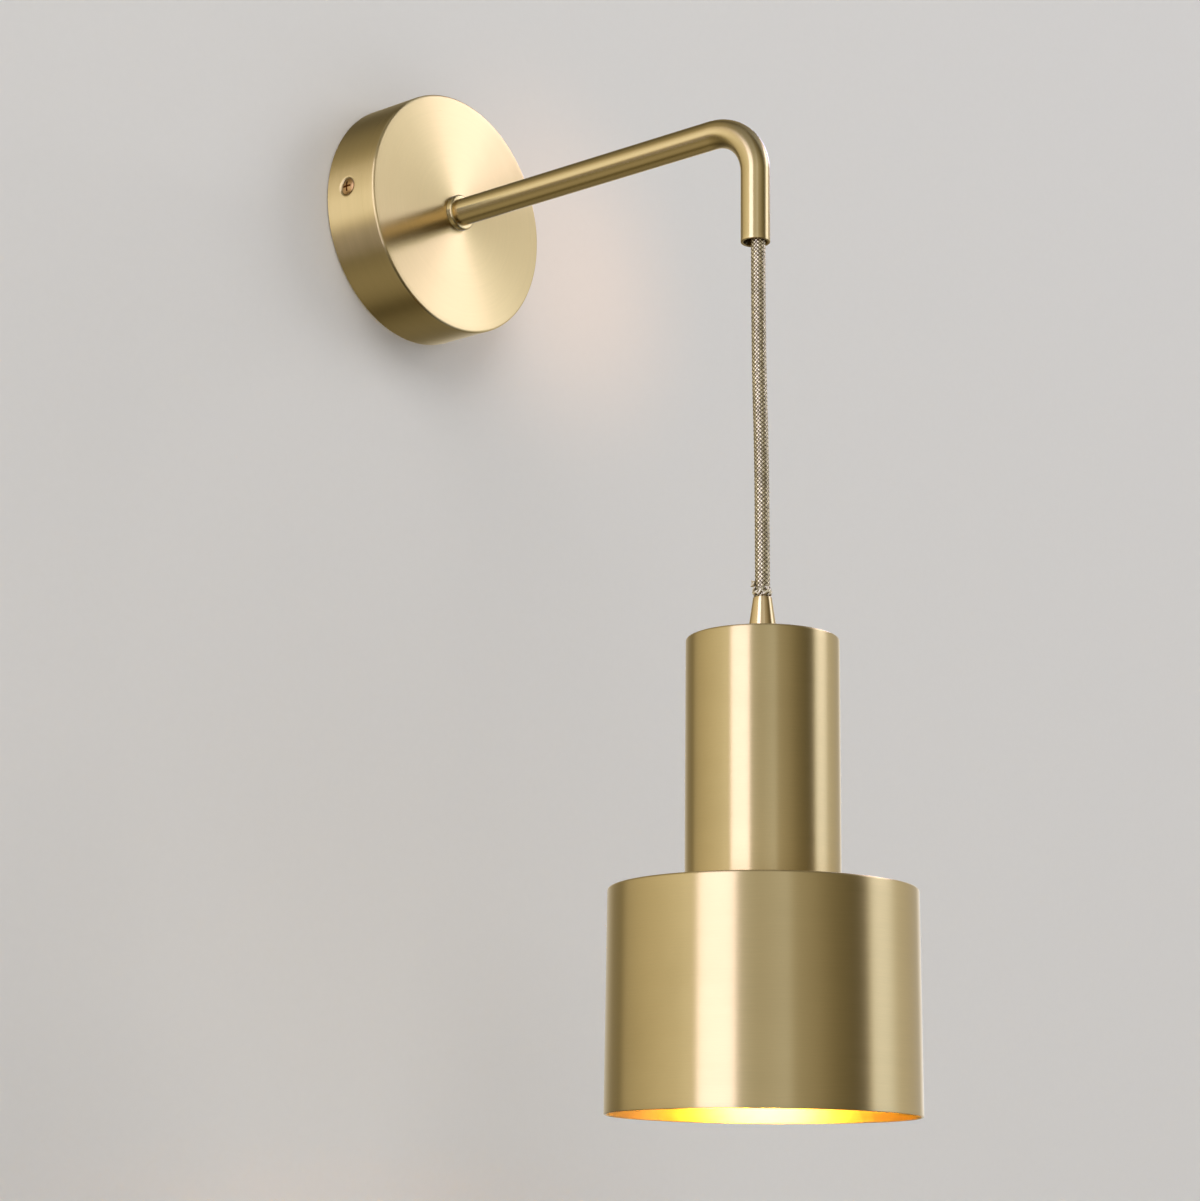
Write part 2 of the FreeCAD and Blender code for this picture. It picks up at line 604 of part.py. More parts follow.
def grip_parts():
    """The tapered grip with its threaded stem, and the ferrule that it hangs on."""
    taper = cone(GRIP_TOP_R, GRIP_BASE_R, on_axis(GRIP_Z), on_axis(NECK_Z))
    taper = round_edges(taper, GRIP_EDGE, lambda c: c.Radius < GRIP_TOP_R + 0.01)
    stem = rod(STEM_R, on_axis(NECK_Z), on_axis(STEM_Z))
    bore = rod(CORE_R + CORE_FIT, on_axis(GRIP_Z + 1), on_axis(STEM_Z - 1))
    ferrule = rod(FERRULE_R, on_axis(STEM_Z), on_axis(FERRULE_Z))
    ferrule = ferrule.cut(rod(CORE_R, on_axis(STEM_Z + 1), on_axis(FERRULE_Z - 1)))
    core = rod(CORE_R, on_axis(GRIP_Z), on_axis(ROD_END - CORE_TAIL))
    return {"cord_grip": fused([taper, stem]).cut(bore), "cord_ferrule": ferrule, "cord_core": core}


def neck_parts():
    """The neck, and the washer, coupling nut and rod that join it to the lampholder."""
    neck = rod(NECK_R, on_axis(NECK_Z), on_axis(SHADE_Z))
    neck = round_edges(neck, NECK_EDGE, lambda c: abs(c.Center.z - NECK_Z) < TINY)
    neck = neck.cut(rod(NECK_R - NECK_WALL, on_axis(NECK_Z - NECK_WALL), on_axis(SHADE_Z - 1)))
    passage = rod(STEM_R + HOLE_FIT, on_axis(NECK_Z + 1), on_axis(COUPLING_TOP))
    washer = rod(WASHER_R, on_axis(NECK_Z - NECK_WALL), on_axis(COUPLING_TOP)).cut(passage)
    thread = rod(STEM_R + SCREW_FIT, on_axis(NECK_Z), on_axis(CAP_END))
    coupling = hexagon(NUT_AF, on_axis(COUPLING_TOP), on_axis(COUPLING_TOP - COUPLING_L)).cut(thread)
    tube = rod(STEM_R, on_axis(ROD_TOP), on_axis(ROD_END))
    tube = tube.cut(rod(STEM_R - ROD_WALL, on_axis(ROD_TOP + 1), on_axis(ROD_END - 1)))
    nut = hexagon(NUT_AF, on_axis(CAP_TOP + LOCK_NUT_H), on_axis(CAP_TOP)).cut(thread)
    return {"neck": neck.cut(passage), "neck_washer": washer, "coupling_nut": coupling,
            "threaded_rod": tube, "lock_nut": nut}


# ---- Lampholder and shade -------------------------------------------------------------------

def lampholder_shells():
    """The cap, the grub screw that locks it on the rod, and the threaded sleeve."""
    bore = STEM_R + SCREW_FIT
    cap = lathe([(bore, CAP_TOP), (CAP_BOSS_R, CAP_TOP), (CAP_BOSS_R, BOSS_Z), (CAP_R, DOME_Z),
                 (CAP_R, CAP_END), (CAP_IN_R, CAP_END), (CAP_IN_R, DOME_Z - CAP_WALL / 2),
                 (CAP_BOSS_R, BOSS_Z - CAP_FLOOR), (bore, BOSS_Z - CAP_FLOOR)])
    screw_z = CAP_TOP - CAP_BOSS_H / 2
    inner = on_axis(screw_z, 0, -bore)
    outer = on_axis(screw_z, 0, -CAP_BOSS_R)
    cap = cap.cut(rod(CAP_SCREW_R + SCREW_FIT, on_axis(screw_z), outer - Y))
    cap_screw = rod(CAP_SCREW_R, inner, outer)
    wall = SLEEVE_R - SLEEVE_WALL
    profile = [(wall, SLEEVE_TOP), (SLEEVE_R, SLEEVE_TOP)]
    turn = SLEEVE_TOP - THREAD_PITCH
    while turn > SLEEVE_END + THREAD_PITCH:
        profile.append((SLEEVE_R, turn))
        profile.append((SLEEVE_R - THREAD_DEPTH, turn - THREAD_PITCH / 2))
        turn -= THREAD_PITCH
    profile += [(SLEEVE_R, turn), (SLEEVE_R, SLEEVE_END), (LIP_R, SLEEVE_END), (LIP_R, SLEEVE_END + LIP_T),
                (wall, SLEEVE_END + LIP_T)]
    return {"lampholder_cap": cap, "cap_screw": cap_screw, "lampholder_sleeve": lathe(profile)}


def lampholder_inside():
    """The insulating disc with the screw shell, spring contact, terminals and wires."""
    disc_r = SLEEVE_R - SLEEVE_WALL - HOLE_FIT
    disc = rod(disc_r, on_axis(INSERT_TOP), on_axis(INSERT_Z))
    shell = rod(SHELL_R, on_axis(INSERT_Z), on_axis(INSERT_Z - SHELL_L))
    shell = shell.cut(rod(SHELL_R - SHELL_WALL, on_axis(INSERT_Z + 1), on_axis(INSERT_Z - SHELL_L - 1)))
    post = rod(CONTACT_R / 2, on_axis(INSERT_Z), on_axis(INSERT_Z - CONTACT_DROP))
    pad = rod(CONTACT_R, on_axis(INSERT_Z - CONTACT_DROP), on_axis(INSERT_Z - CONTACT_DROP - CONTACT_T))
    blocks = []
    screws = []
    leads = []
    half = TERMINAL_SIZE / 2
    hole_z = INSERT_TOP + half
    for sign in (-1, 1):
        x = sign * TERMINAL_X
        block = box(on_axis(INSERT_TOP, x - half, -half), on_axis(INSERT_TOP + TERMINAL_SIZE, x + half, half))
        top = INSERT_TOP + TERMINAL_SIZE
        wire_hole = rod(WIRE_R + SCREW_FIT, on_axis(INSERT_TOP, x), on_axis(top + 1, x))
        screw_hole = rod(M3_R + SCREW_FIT, on_axis(hole_z, x), on_axis(hole_z, x, -TERMINAL_SIZE))
        blocks.append(block.cut([wire_hole, screw_hole]))
        seat = on_axis(hole_z, x, -half)
        screws.append(pan_screw(V(0, -1, 0), seat, SMALL_HEAD_R, SMALL_HEAD_H, M3_R, half - WIRE_R))
        tail = ROD_END - CORE_TAIL
        drop = tail - INSERT_TOP - TERMINAL_SIZE
        route = [on_axis(tail, sign * CORE_FAN), on_axis(tail - drop * LEAD_OUT, sign * CORE_FAN),
                 on_axis(tail - drop * LEAD_DOWN, x), on_axis(INSERT_TOP + WIRE_R, x)]
        leads.append(sweep("holder_wires", route, WIRE_R))
    return {"lampholder_core": disc, "screw_shell": shell, "centre_contact": fused([post, pad]),
            "holder_terminals": group(blocks), "holder_screws": group(screws), "holder_wires": group(leads)}


def shade_parts():
    """The shade and the two threaded rings that clamp its top on the lampholder's sleeve."""
    hole = SLEEVE_R + HOLE_FIT * 2
    wall = SHADE_WALL
    rim_r = SHADE_TOP_R + SHADE_FLARE
    shade = lathe([(hole, SHADE_Z), (SHADE_TOP_R, SHADE_Z), (rim_r, RIM_Z), (rim_r - wall, RIM_Z),
                   (SHADE_TOP_R - wall, PLATE_Z), (hole, PLATE_Z)])
    shade = round_edges(shade, SHADE_EDGE,
                        lambda c: abs(c.Center.z - SHADE_Z) < TINY and c.Radius > SHADE_TOP_R - 0.01)
    rings = {}
    for name, face, way in (("ring_upper", SHADE_Z, 1), ("ring_lower", PLATE_Z, -1)):
        bore = SLEEVE_R + SCREW_FIT
        flange = face + way * RING_FLANGE
        top = face + way * RING_H
        rings[name] = lathe([(bore, face), (RING_R, face), (RING_R, flange), (bore + RING_SLEEVE, flange),
                             (bore + RING_SLEEVE, top), (bore, top)])
    return {"shade": shade, **rings}


# ---- Bulb --------------------------------------------------------------------------------------

def bulb_parts():
    """A small round opal bulb with a threaded cap."""
    contact = cone(TIP_R * 0.7, TIP_R, on_axis(BULB_TOP), on_axis(GLASS_Z))
    insulator = cone(TIP_R, GLASS_R, on_axis(GLASS_Z), on_axis(SCREW_CAP_Z))
    root = BULB_CAP_R - BULB_CAP_DEPTH
    outer = [(GLASS_R, SCREW_CAP_Z), (root, SCREW_CAP_Z)]
    for turn in range(CAP_TURNS):
        middle = SCREW_CAP_Z - (turn + 0.5) * CAP_PITCH
        outer.append((BULB_CAP_R, middle))
        outer.append((root, middle - CAP_PITCH / 2))
    inner = [(radius - BULB_CAP_WALL, height) for radius, height in reversed(outer[2:])]
    flare_z = SCREW_CAP_END - CAP_FLARE / 2
    flare_in = BULB_CAP_R - BULB_CAP_WALL
    flare = [(BULB_CAP_R, flare_z), (BULB_CAP_R, HOUSING_Z), (flare_in, HOUSING_Z), (flare_in, flare_z)]
    top_in = [(root - BULB_CAP_WALL, SCREW_CAP_Z - BULB_CAP_WALL), (GLASS_R, SCREW_CAP_Z - BULB_CAP_WALL)]
    cap = lathe(outer + flare + inner + top_in)
    wall = GLOBE_WALL
    housing = lathe([(BULB_CAP_R, HOUSING_Z), (HOUSING_R, GLOBE_TOP), (HOUSING_R - wall, GLOBE_TOP),
                     (BULB_CAP_R - wall, HOUSING_Z)])
    centre = on_axis(GLOBE_Z)
    below = rod(GLOBE_R * 2, on_axis(GLOBE_TOP), on_axis(GLOBE_Z - GLOBE_R * 2))
    globe = Part.makeSphere(GLOBE_R, centre, Z, -90, 90, 360)
    globe = globe.cut(Part.makeSphere(GLOBE_R - wall, centre, Z, -90, 90, 360)).common(below)
    seat = GLOBE_TOP + BOARD_T
    reach = BULB_CAP_R + (HOUSING_R - BULB_CAP_R) * (HOUSING_Z - seat) / HOUSING_H - wall
    board = rod(min(BOARD_R, reach), on_axis(seat + BOARD_T), on_axis(seat))
    board_rim = rod(reach, on_axis(seat), on_axis(seat - BOARD_T / 2))
    return {"bulb_contact": contact, "bulb_insulator": insulator, "bulb_cap": cap, "bulb_housing": housing,
            "led_board": fused([board, board_rim]), "bulb_globe": globe}


# ---- The whole lamp ---------------------------------------------------------------------------

def build():
    """Every piece by its node's name."""
    pieces = {"wall_bracket": wall_bracket(), "canopy": canopy(), "canopy_screws": canopy_screws()}
    pieces.update(earth_parts())
    pieces.update(terminal_parts())
    pieces.update(arm_parts())
    pieces.update(cord_clamp_parts())
    pieces["arm_cord"] = arm_cord()
    pieces.update(wires())
    pieces.update(free_cord_parts())
    pieces.update(grip_parts())
    pieces.update(neck_parts())
    pieces.update(lampholder_shells())
    pieces.update(lampholder_inside())
    pieces.update(shade_parts())
    pieces.update(bulb_parts())
    return pieces


os.makedirs("parts", exist_ok=True)
for node, shape in build().items():
    shape.exportStep("parts/" + node + ".step")
    print(node, "solids", len(shape.Solids), "valid", shape.isValid(), "volume", round(shape.Volume, 1))
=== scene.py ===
import math

import bmesh
import bpy
import numpy as np
from mathutils import Matrix, Vector


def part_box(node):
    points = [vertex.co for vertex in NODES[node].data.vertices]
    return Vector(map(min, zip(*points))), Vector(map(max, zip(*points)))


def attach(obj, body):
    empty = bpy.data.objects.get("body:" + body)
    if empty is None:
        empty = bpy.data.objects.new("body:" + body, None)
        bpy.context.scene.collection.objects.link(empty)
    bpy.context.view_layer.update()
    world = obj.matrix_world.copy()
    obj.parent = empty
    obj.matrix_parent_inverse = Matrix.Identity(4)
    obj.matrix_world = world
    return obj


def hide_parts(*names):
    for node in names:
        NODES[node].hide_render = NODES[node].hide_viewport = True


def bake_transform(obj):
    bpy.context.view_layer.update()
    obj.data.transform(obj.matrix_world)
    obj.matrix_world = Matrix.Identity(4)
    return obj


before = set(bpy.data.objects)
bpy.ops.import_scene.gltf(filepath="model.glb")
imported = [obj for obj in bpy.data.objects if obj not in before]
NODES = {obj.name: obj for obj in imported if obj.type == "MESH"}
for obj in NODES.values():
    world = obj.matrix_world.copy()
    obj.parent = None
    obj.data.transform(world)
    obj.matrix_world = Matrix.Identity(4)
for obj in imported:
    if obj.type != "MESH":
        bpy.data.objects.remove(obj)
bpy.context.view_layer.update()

bl_info = {
    "name": "Hanging Pendant Wall Sconce",
    "version": (1, 0, 0),
    "blender": (4, 5, 0),
    "location": "View3D > Sidebar > Sconce",
    "description": "Brass shells, braided cord, glowing bulb, wall and light for the packed wall sconce",
    "category": "Add Mesh",
}

TURN = 2 * math.pi
X_AXIS = np.array((1.0, 0.0, 0.0))

# The photograph's camera: it stands below the shade's rim, to the left of the lamp, and looks up.
CAMERA_PLACE = (-0.85014, -0.82630, -0.45092)
CAMERA_AZIMUTH = -50.01
CAMERA_ELEVATION = -13.26
CAMERA_ROLL = math.radians(0.69)
CAMERA_LENS = 83.12
SENSOR_WIDTH = 36.0

# The cord's route, repeated from the part's source, in metres.
CORD_EXIT = (0.0, -0.1944, -0.052)
SWAY_PIVOT = (0.0, -0.1944, -0.077)
GRIP_TOP = (0.0, -0.1962, -0.200)
CORD_ROUTE = [CORD_EXIT, (0.0, -0.1944, -0.099), (0.0, -0.1962, -0.150), GRIP_TOP]
CORD_INSIDE = -0.040          # height, inside the tube, where the free cord takes over
ARM_CORD_ROUTE = [(0.0, -0.0115, 0.0), (0.0, -0.100, 0.0), (0.0, -0.1504, 0.0), (0.0, -0.1944, 0.0),
                  (0.0, -0.1944, -0.036), (0.0, -0.1944, CORD_INSIDE)]

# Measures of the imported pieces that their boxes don't show, in metres.
THREAD_HOLE = 0.0054          # radius of the hole in the dish and of the one in the neck's top
HOLDER_HOLE = 0.0194          # radius of the hole in the shade's top
COLLAR_RADIUS = 0.008
SCREW_PLACE = 0.012           # from the wall to the middle of the dish's side screws
GRIP_BORE = 0.0026
GRIP_STEM = 0.005             # radius of the grip's threaded stem
GRIP_NARROW = 0.0037          # radius at the grip's top
GRIP_WIDE = 0.0062            # radius where the grip meets the neck
SHADE_TOP_RADIUS = 0.0595
SHADE_RIM_RADIUS = 0.060

YARN_DIP = 0.45               # how sharply a yarn dips under the next one
CUFF_STRANDS = 18
CUFF_LOOPS = 7
KNOT_TURN = 0.37              # share of a turn at which the knot lies


def corners(node):
    """A CAD node's lowest and highest corner as two arrays."""
    low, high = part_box(node)
    return np.array(low), np.array(high)


DISH_LOW, DISH_HIGH = corners("canopy")
COLLAR_LOW, COLLAR_HIGH = corners("arm_collar")
TUBE_LOW, TUBE_HIGH = corners("arm_tube")
NECK_LOW, NECK_HIGH = corners("neck")
SHADE_LOW, SHADE_HIGH = corners("shade")
GRIP_LOW, GRIP_HIGH = corners("cord_grip")
PENDANT_Y = GRIP_TOP[1]


# ---- Settings ------------------------------------------------------------------------------------

def length_setting(name, description, default, precision=4):
    """A length that a user may change."""
    return bpy.props.FloatProperty(name=name, description=description, default=default, unit="LENGTH",
                                   precision=precision)


def colour_setting(name, description, default):
    """A colour that a user may change."""
    return bpy.props.FloatVectorProperty(name=name, description=description, default=default,
                                         subtype="COLOR", size=3)


def light_setting(name, description, default, unit="NONE"):
    """The strength of a light, which a user may change."""
    return bpy.props.FloatProperty(name=name, description=description, default=default, unit=unit, min=0)


class SconceSizes(bpy.types.PropertyGroup):
    """Sizes that a user may change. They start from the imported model."""
    dish_radius: length_setting("Dish Radius", "Outside radius of the wall dish", float(DISH_HIGH[0]))
    dish_wall: length_setting("Dish Wall", "Metal thickness of the wall dish", 0.001)
    dish_edge: length_setting("Dish Edge", "Rounding of the dish's front edge", 0.0011)
    tube_radius: length_setting("Tube Radius", "Outside radius of the bent arm tube", float(TUBE_HIGH[0]))
    tube_wall: length_setting("Tube Wall", "Metal thickness of the arm tube", 0.001)
    bend_radius: length_setting("Bend Radius", "Radius of the arm's bend at the tube's axis", 0.022)
    shell_wall: length_setting("Shade Wall", "Metal thickness of the neck and the shade", 0.001)
    shell_edge: length_setting("Shade Edge", "Rounding of the neck's and the shade's top edges", 0.001)
    cord_radius: length_setting("Cord Radius", "Radius of the braided cord", 0.0028)
    braid_height: length_setting("Braid Height", "How far the yarns stand out of the braid", 0.00030, 5)
    braid_pitch: length_setting("Braid Pitch", "Length of cord between two crossings of a yarn", 0.00170, 5)
    braid_carriers: bpy.props.IntProperty(
        name="Braid Carriers", description="Yarns that run each way round the cord", default=10, min=4,
        max=32)


class SconceColours(bpy.types.PropertyGroup):
    """Colours of the finishes."""
    brass: colour_setting("Brass", "Brushed brass", (0.66, 0.485, 0.205))
    brass_polished: colour_setting("Polished Brass", "Polished brass of the grip", (0.74, 0.53, 0.245))
    yarn_light: colour_setting("Light Yarn", "Lighter yarn of the cord", (1.0, 0.82, 0.47))
    # Painted shade: this dark colour fills the gaps between the yarns and the gathered end's hidden yarn; it
    # also gives the yarn dark flecks.
    yarn_dark_and_shade: colour_setting("Dark Yarn and Shade", "Shade between the cord's yarns", (0.10, 0.062, 0.025))
    wall: colour_setting("Wall", "Pale wall behind the lamp", (0.85, 0.832, 0.81))
    glow: colour_setting("Glow", "Light of the bulb", (1.0, 0.65, 0.06))


class SconceLight(bpy.types.PropertyGroup):
    """Strength of the studio light and of the bulb."""
    left_box: light_setting("Left Softbox", "Radiance of the tall softbox that the brass mirrors", 1.68)
    top_box: light_setting("Top Softbox", "Radiance of the softbox that the dish mirrors", 2.75)
    screen: light_setting("Pale Screen", "Radiance of the pale screen behind the top softbox", 0.85)
    bend_strip: light_setting("Bend Strip", "Radiance of the low strip that the arm's bend mirrors", 4.5)
    key: light_setting("Key Light", "Radiance of the large light to the right", 2.7)
    fill: light_setting("Fill Light", "Radiance of the light from the left", 2.3)
    wall_glow: light_setting(
        "Wall Glow", "Power of the warm light that the brass throws on the wall", 1.3, "POWER")
    ambient: light_setting("Ambient", "Even light from the room", 0.40)
    bulb: light_setting("Bulb", "Radiance of the bulb's globe", 290.0)


def settings():
    """The scene's three groups of settings."""
    scene = bpy.context.scene
    return scene.sconce_sizes, scene.sconce_colours, scene.sconce_light


# ---- Lines and surfaces --------------------------------------------------------------------------

def unit(vectors):
    """Rows of vectors made one long."""
    return vectors / np.linalg.norm(vectors, axis=1)[:, None]


def run_lengths(points):
    """The length along a line at each of its points."""
    return np.concatenate([[0], np.cumsum(np.linalg.norm(np.diff(points, axis=0), axis=1))])


def line_at(points, length, places):
    """Points of a line at the given lengths along it, straight between its own points."""
    return np.stack([np.interp(places, length, column) for column in points.T], axis=1)


def rings(line, radius, first, second, turn):
    """Rings of points about a line: point = line + radius * (cos * first + sin * second)."""
    angle = TURN * turn[None, :, None]
    return line[:, None] + radius * (np.cos(angle) * first[:, None] + np.sin(angle) * second[:, None])


def vertex_places(mesh):
    """The places of a mesh's vertices, as rows."""
    places = np.empty(len(mesh.vertices) * 3, np.float32)
    mesh.vertices.foreach_get("co", places)
    return places.reshape(-1, 3).astype(float)


def mark(mesh, name, values):
    """Gives each vertex of a mesh its value of a named attribute."""
    attribute = mesh.attributes.new(name, "FLOAT", "POINT")
    attribute.data.foreach_set("value", values.astype(np.float32).ravel())


def surface(name, points, along, around, closed_along=False, tone=None):
    """A mesh from a grid of points, rows along a profile or path and columns around it.

    Each cell of the grid becomes one quad. Columns always close round, and rows do where
    closed_along is set. The map "Turning" holds the length along the profile, in metres, and the
    share of a turn; at the seam it runs on to 1, so nothing jumps there. The tone goes into the
    attribute "edge"."""
    rows, columns = points.shape[:2]
    row = np.arange(rows if closed_along else rows - 1)
    row, column = np.meshgrid(row, np.arange(columns), indexing="ij")
    next_row, next_column = row + 1, column + 1
    quads = np.stack([
        row * columns + column,
        row * columns + next_column % columns,
        next_row % rows * columns + next_column % columns,
        next_row % rows * columns + column], axis=-1).reshape(-1, 4)
    mesh = bpy.data.meshes.new(name)
    mesh.from_pydata(points.reshape(-1, 3).tolist(), [], quads.tolist())
    along = np.append(along, along[-1] + (along[1] - along[0]))
    around = np.append(around, around[0] + 1)
    share_u = along[np.stack([row, row, next_row, next_row], axis=-1)]
    share_v = around[np.stack([column, next_column, next_column, column], axis=-1)]
    turning = mesh.uv_layers.new(name="Turning")
    turning.uv.foreach_set("vector", np.stack([share_u, share_v], axis=-1).astype(np.float32).ravel())
    if tone is not None:
        mark(mesh, "edge", tone)
    mesh.update()
    return mesh


def rounded_profile(points, radii, steps):
    """A closed outline with its corners rounded.

    Radii has one for each corner. Where it isn't 0, the straight sides stop radius / tan(half the
    corner's angle) before the corner, and an arc about a point on the corner's bisector takes over.
    Returns the outline's points, the length along it, and a tone that rises and falls on each arc."""
    points = np.array(points, float)
    outline, on_arc = [], []
    for index, radius in enumerate(radii):
        corner = points[index]
        if radius <= 0:
            outline.append(corner[None])
            on_arc.append([0.0])
            continue
        to_last, to_next = unit(np.stack([points[index - 1], points[(index + 1) % len(points)]]) - corner)
        half = math.acos(np.clip(to_last @ to_next, -1, 1)) / 2
        bisector = (to_last + to_next) / np.linalg.norm(to_last + to_next)
        centre = corner + bisector * radius / math.sin(half)
        first = corner + to_last * radius / math.tan(half) - centre
        last = corner + to_next * radius / math.tan(half) - centre
        sweep = math.pi - 2 * half
        share = np.linspace(0, 1, steps + 1)[:, None]
        arc = (first * np.sin((1 - share) * sweep) + last * np.sin(share * sweep)) / math.sin(sweep)
        outline.append(centre + arc)
        on_arc.append(np.sin(np.pi * share[:, 0]) ** 0.5)
    outline = np.concatenate(outline)
    return outline, run_lengths(outline), np.concatenate(on_arc)


def profile_at(profile, places):
    """A rounded profile with its points at the given lengths along it."""
    outline, length, on_arc = profile
    return line_at(outline, length, places), places, np.interp(places, length, on_arc)


def refine(profile, longest):
    """The profile with points added so that no side is longer than the given length."""
    length = profile[1]
    parts = np.maximum(1, np.ceil(np.diff(length) / longest)).astype(int)
    places = [start + (stop - start) * np.arange(count) / count
              for start, stop, count in zip(length[:-1], length[1:], parts)]
    return profile_at(profile, np.concatenate(places + [length[-1:]]))


def turned(name, profile, centre, axis, columns, dents=None):
    """A shell turned about an axis: point = centre + axis * height + radius * (cos, sin) round it.

    The profile's outline holds radius and height. Dents lower the radius, and lower the tone, which the brass
    paints as shade in them."""
    outline, length, on_arc = profile
    axis = np.array(axis, float)
    other = np.cross(axis, X_AXIS)
    around = np.arange(columns) / columns
    if dents:
        around = dents.columns(around)
    radius = np.repeat(outline[:, :1], len(around), axis=1)
    height = np.repeat(outline[:, 1:], len(around), axis=1)
    tone = np.repeat(on_arc[:, None], len(around), axis=1)
    if dents:
        pressed = dents.press(radius, height, around)
        # A lower tone is painted shade in the dents.
        tone = tone - (radius - pressed) / dents.depth
        radius = pressed
    angle = TURN * around[None]
    points = (np.array(centre) + height[..., None] * axis + (radius * np.cos(angle))[..., None] * X_AXIS
              + (radius * np.sin(angle))[..., None] * other)
    return surface(name, points, length, around, closed_along=True, tone=tone)


def finished(mesh, sharp=35.0, weld=False):
    """The mesh smoothed, with its sharp edges kept, its poles' points merged where asked, and its
    faces turned round if it encloses a negative volume."""
    if weld:
        work = bmesh.new()
        work.from_mesh(mesh)
        bmesh.ops.remove_doubles(work, verts=work.verts, dist=1e-6)
        work.to_mesh(mesh)
        work.free()
    mesh.validate()
    mesh.shade_smooth()
    mesh.set_sharp_from_angle(angle=math.radians(sharp))
    if not mesh.polygons:
        raise RuntimeError(f"{mesh.name} has no faces")
    mesh.calc_loop_triangles()
    corners_of = np.empty(len(mesh.loop_triangles) * 3, np.int32)
    mesh.loop_triangles.foreach_get("vertices", corners_of)
    a, b, c = vertex_places(mesh)[corners_of.reshape(-1, 3)].transpose(1, 0, 2)
    if np.einsum("ij,ij->", a, np.cross(b, c)) < 0:
        mesh.flip_normals()
    return mesh


def add_piece(mesh, finish, body, slot, *replaced):
    """Puts a finished mesh in the scene, under its own name, as a piece that rides on a body."""
    piece = bpy.data.objects.new(mesh.name, mesh)
    bpy.context.scene.collection.objects.link(piece)
    mesh.materials.append(MATERIALS[finish])
    if body:
        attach(piece, body)
    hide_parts(*replaced)
    return piece


# ---- Shader nodes --------------------------------------------------------------------------------

def feed(tree, socket, value):
    """Gives a socket another node's output, a number or a colour."""
    if isinstance(value, bpy.types.NodeSocket):
        tree.links.new(value, socket)
    elif isinstance(value, (int, float)):
        socket.default_value = value
    else:
        socket.default_value = tuple(value) + (1.0,) * (4 - len(value))


def feed_all(tree, sockets, values):
    """Feeds sockets by their names."""
    for key, value in values.items():
        feed(tree, sockets[key], value)


def add_node(tree, kind, values=(), **settings_of):
    """A node with its settings and its inputs by name."""
    made = tree.nodes.new("ShaderNode" + kind)
    for key, value in settings_of.items():
        setattr(made, key, value)
    feed_all(tree, made.inputs, dict(values))
    return made


def calc(tree, operation, *values, clamp=False):
    """The result of one Math node."""
    made = add_node(tree, "Math", operation=operation, use_clamp=clamp)
    for socket, value in zip(made.inputs, values):
        feed(tree, socket, value)
    return made.outputs[0]


def plus(tree, first, second):
    """The sum of two values."""
    return calc(tree, "ADD", first, second)


def minus(tree, first, second):
    """The difference of two values."""
    return calc(tree, "SUBTRACT", first, second)


def times(tree, first, second, clamp=False):
    """The product of two values, held between 0 and 1 where asked."""
    return calc(tree, "MULTIPLY", first, second, clamp=clamp)


def ranged(tree, value, low, high, **settings_of):
    """How far a value is on its way from low to high, held between 0 and 1."""
    return add_node(tree, "MapRange", {"Value": value, "From Min": low, "From Max": high},
                    **settings_of).outputs["Result"]


def noise(tree, place, scale, detail, roughness, distortion=0.0):
    """The value of a noise pattern at a place."""
    return add_node(tree, "TexNoise", {"Vector": place, "Scale": scale, "Detail": detail,
                                       "Roughness": roughness, "Distortion": distortion}).outputs["Fac"]


def mix_colour(tree, share, first, second, blend="MIX"):
    """The result of one colour Mix node."""
    made = add_node(tree, "Mix", data_type="RGBA", blend_type=blend)
    for index, value in ((0, share), (6, first), (7, second)):
        feed(tree, made.inputs[index], value)
    return made.outputs[2]


def shade_of(colour, factor):
    """A colour made darker or lighter."""
    return [min(c * factor, 1.0) for c in colour]


def tinted(tree, tone, colour, low, high):
    """The colour made darker and lighter between low and high as the tone goes from 0 to 1."""
    return mix_colour(tree, tone, shade_of(colour, low), shade_of(colour, high))


def bumped(tree, height, distance, strength):
    """The normal of a surface with a fine relief."""
    return add_node(tree, "Bump", {"Height": height, "Distance": distance,
                                   "Strength": strength}).outputs["Normal"]


def turning_map(tree):
    """The piece's own map of length and turn."""
    return add_node(tree, "UVMap", uv_map="Turning").outputs["UV"]


def point_value(tree, name):
    """A value that the piece's points carry."""
    return add_node(tree, "Attribute", attribute_name=name).outputs["Fac"]


def shader_group(name, vector, numbers, results):
    """An empty shader node group with a vector input, number inputs and number outputs."""
    tree = bpy.data.node_groups.new(name, "ShaderNodeTree")
    tree.interface.new_socket(name=vector, in_out="INPUT", socket_type="NodeSocketVector")
    for label, value in numbers.items():
        socket = tree.interface.new_socket(name=label, in_out="INPUT", socket_type="NodeSocketFloat")
        socket.default_value = value
    for label in results:
        tree.interface.new_socket(name=label, in_out="OUTPUT", socket_type="NodeSocketFloat")
    return tree, tree.nodes.new("NodeGroupInput").outputs, tree.nodes.new("NodeGroupOutput").inputs


def grain_group(name):
    """Fine lines left by turning and brushing: noise stretched round the piece, close along it.

    The share of a turn becomes a point on a circle, so the lines close on themselves."""
    tree, given, result = shader_group(name, "Turning", {"Spacing": 0.0004, "Run": 2.0}, ("Tone", "Height"))
    split = add_node(tree, "SeparateXYZ", {"Vector": given["Turning"]}).outputs
    angle = times(tree, split["Y"], TURN)
    place = add_node(tree, "CombineXYZ", {
        "X": times(tree, calc(tree, "COSINE", angle), given["Run"]),
        "Y": times(tree, calc(tree, "SINE", angle), given["Run"]),
        "Z": calc(tree, "DIVIDE", split["X"], given["Spacing"])}).outputs[0]
    fine = noise(tree, place, 1.0, 3.0, 0.65)
    broad = noise(tree, place, 0.13, 2.0, 0.5)
    tone = plus(tree, times(tree, fine, 0.6), times(tree, broad, 0.4))
    feed_all(tree, result, {"Tone": tone, "Height": fine})
    return tree


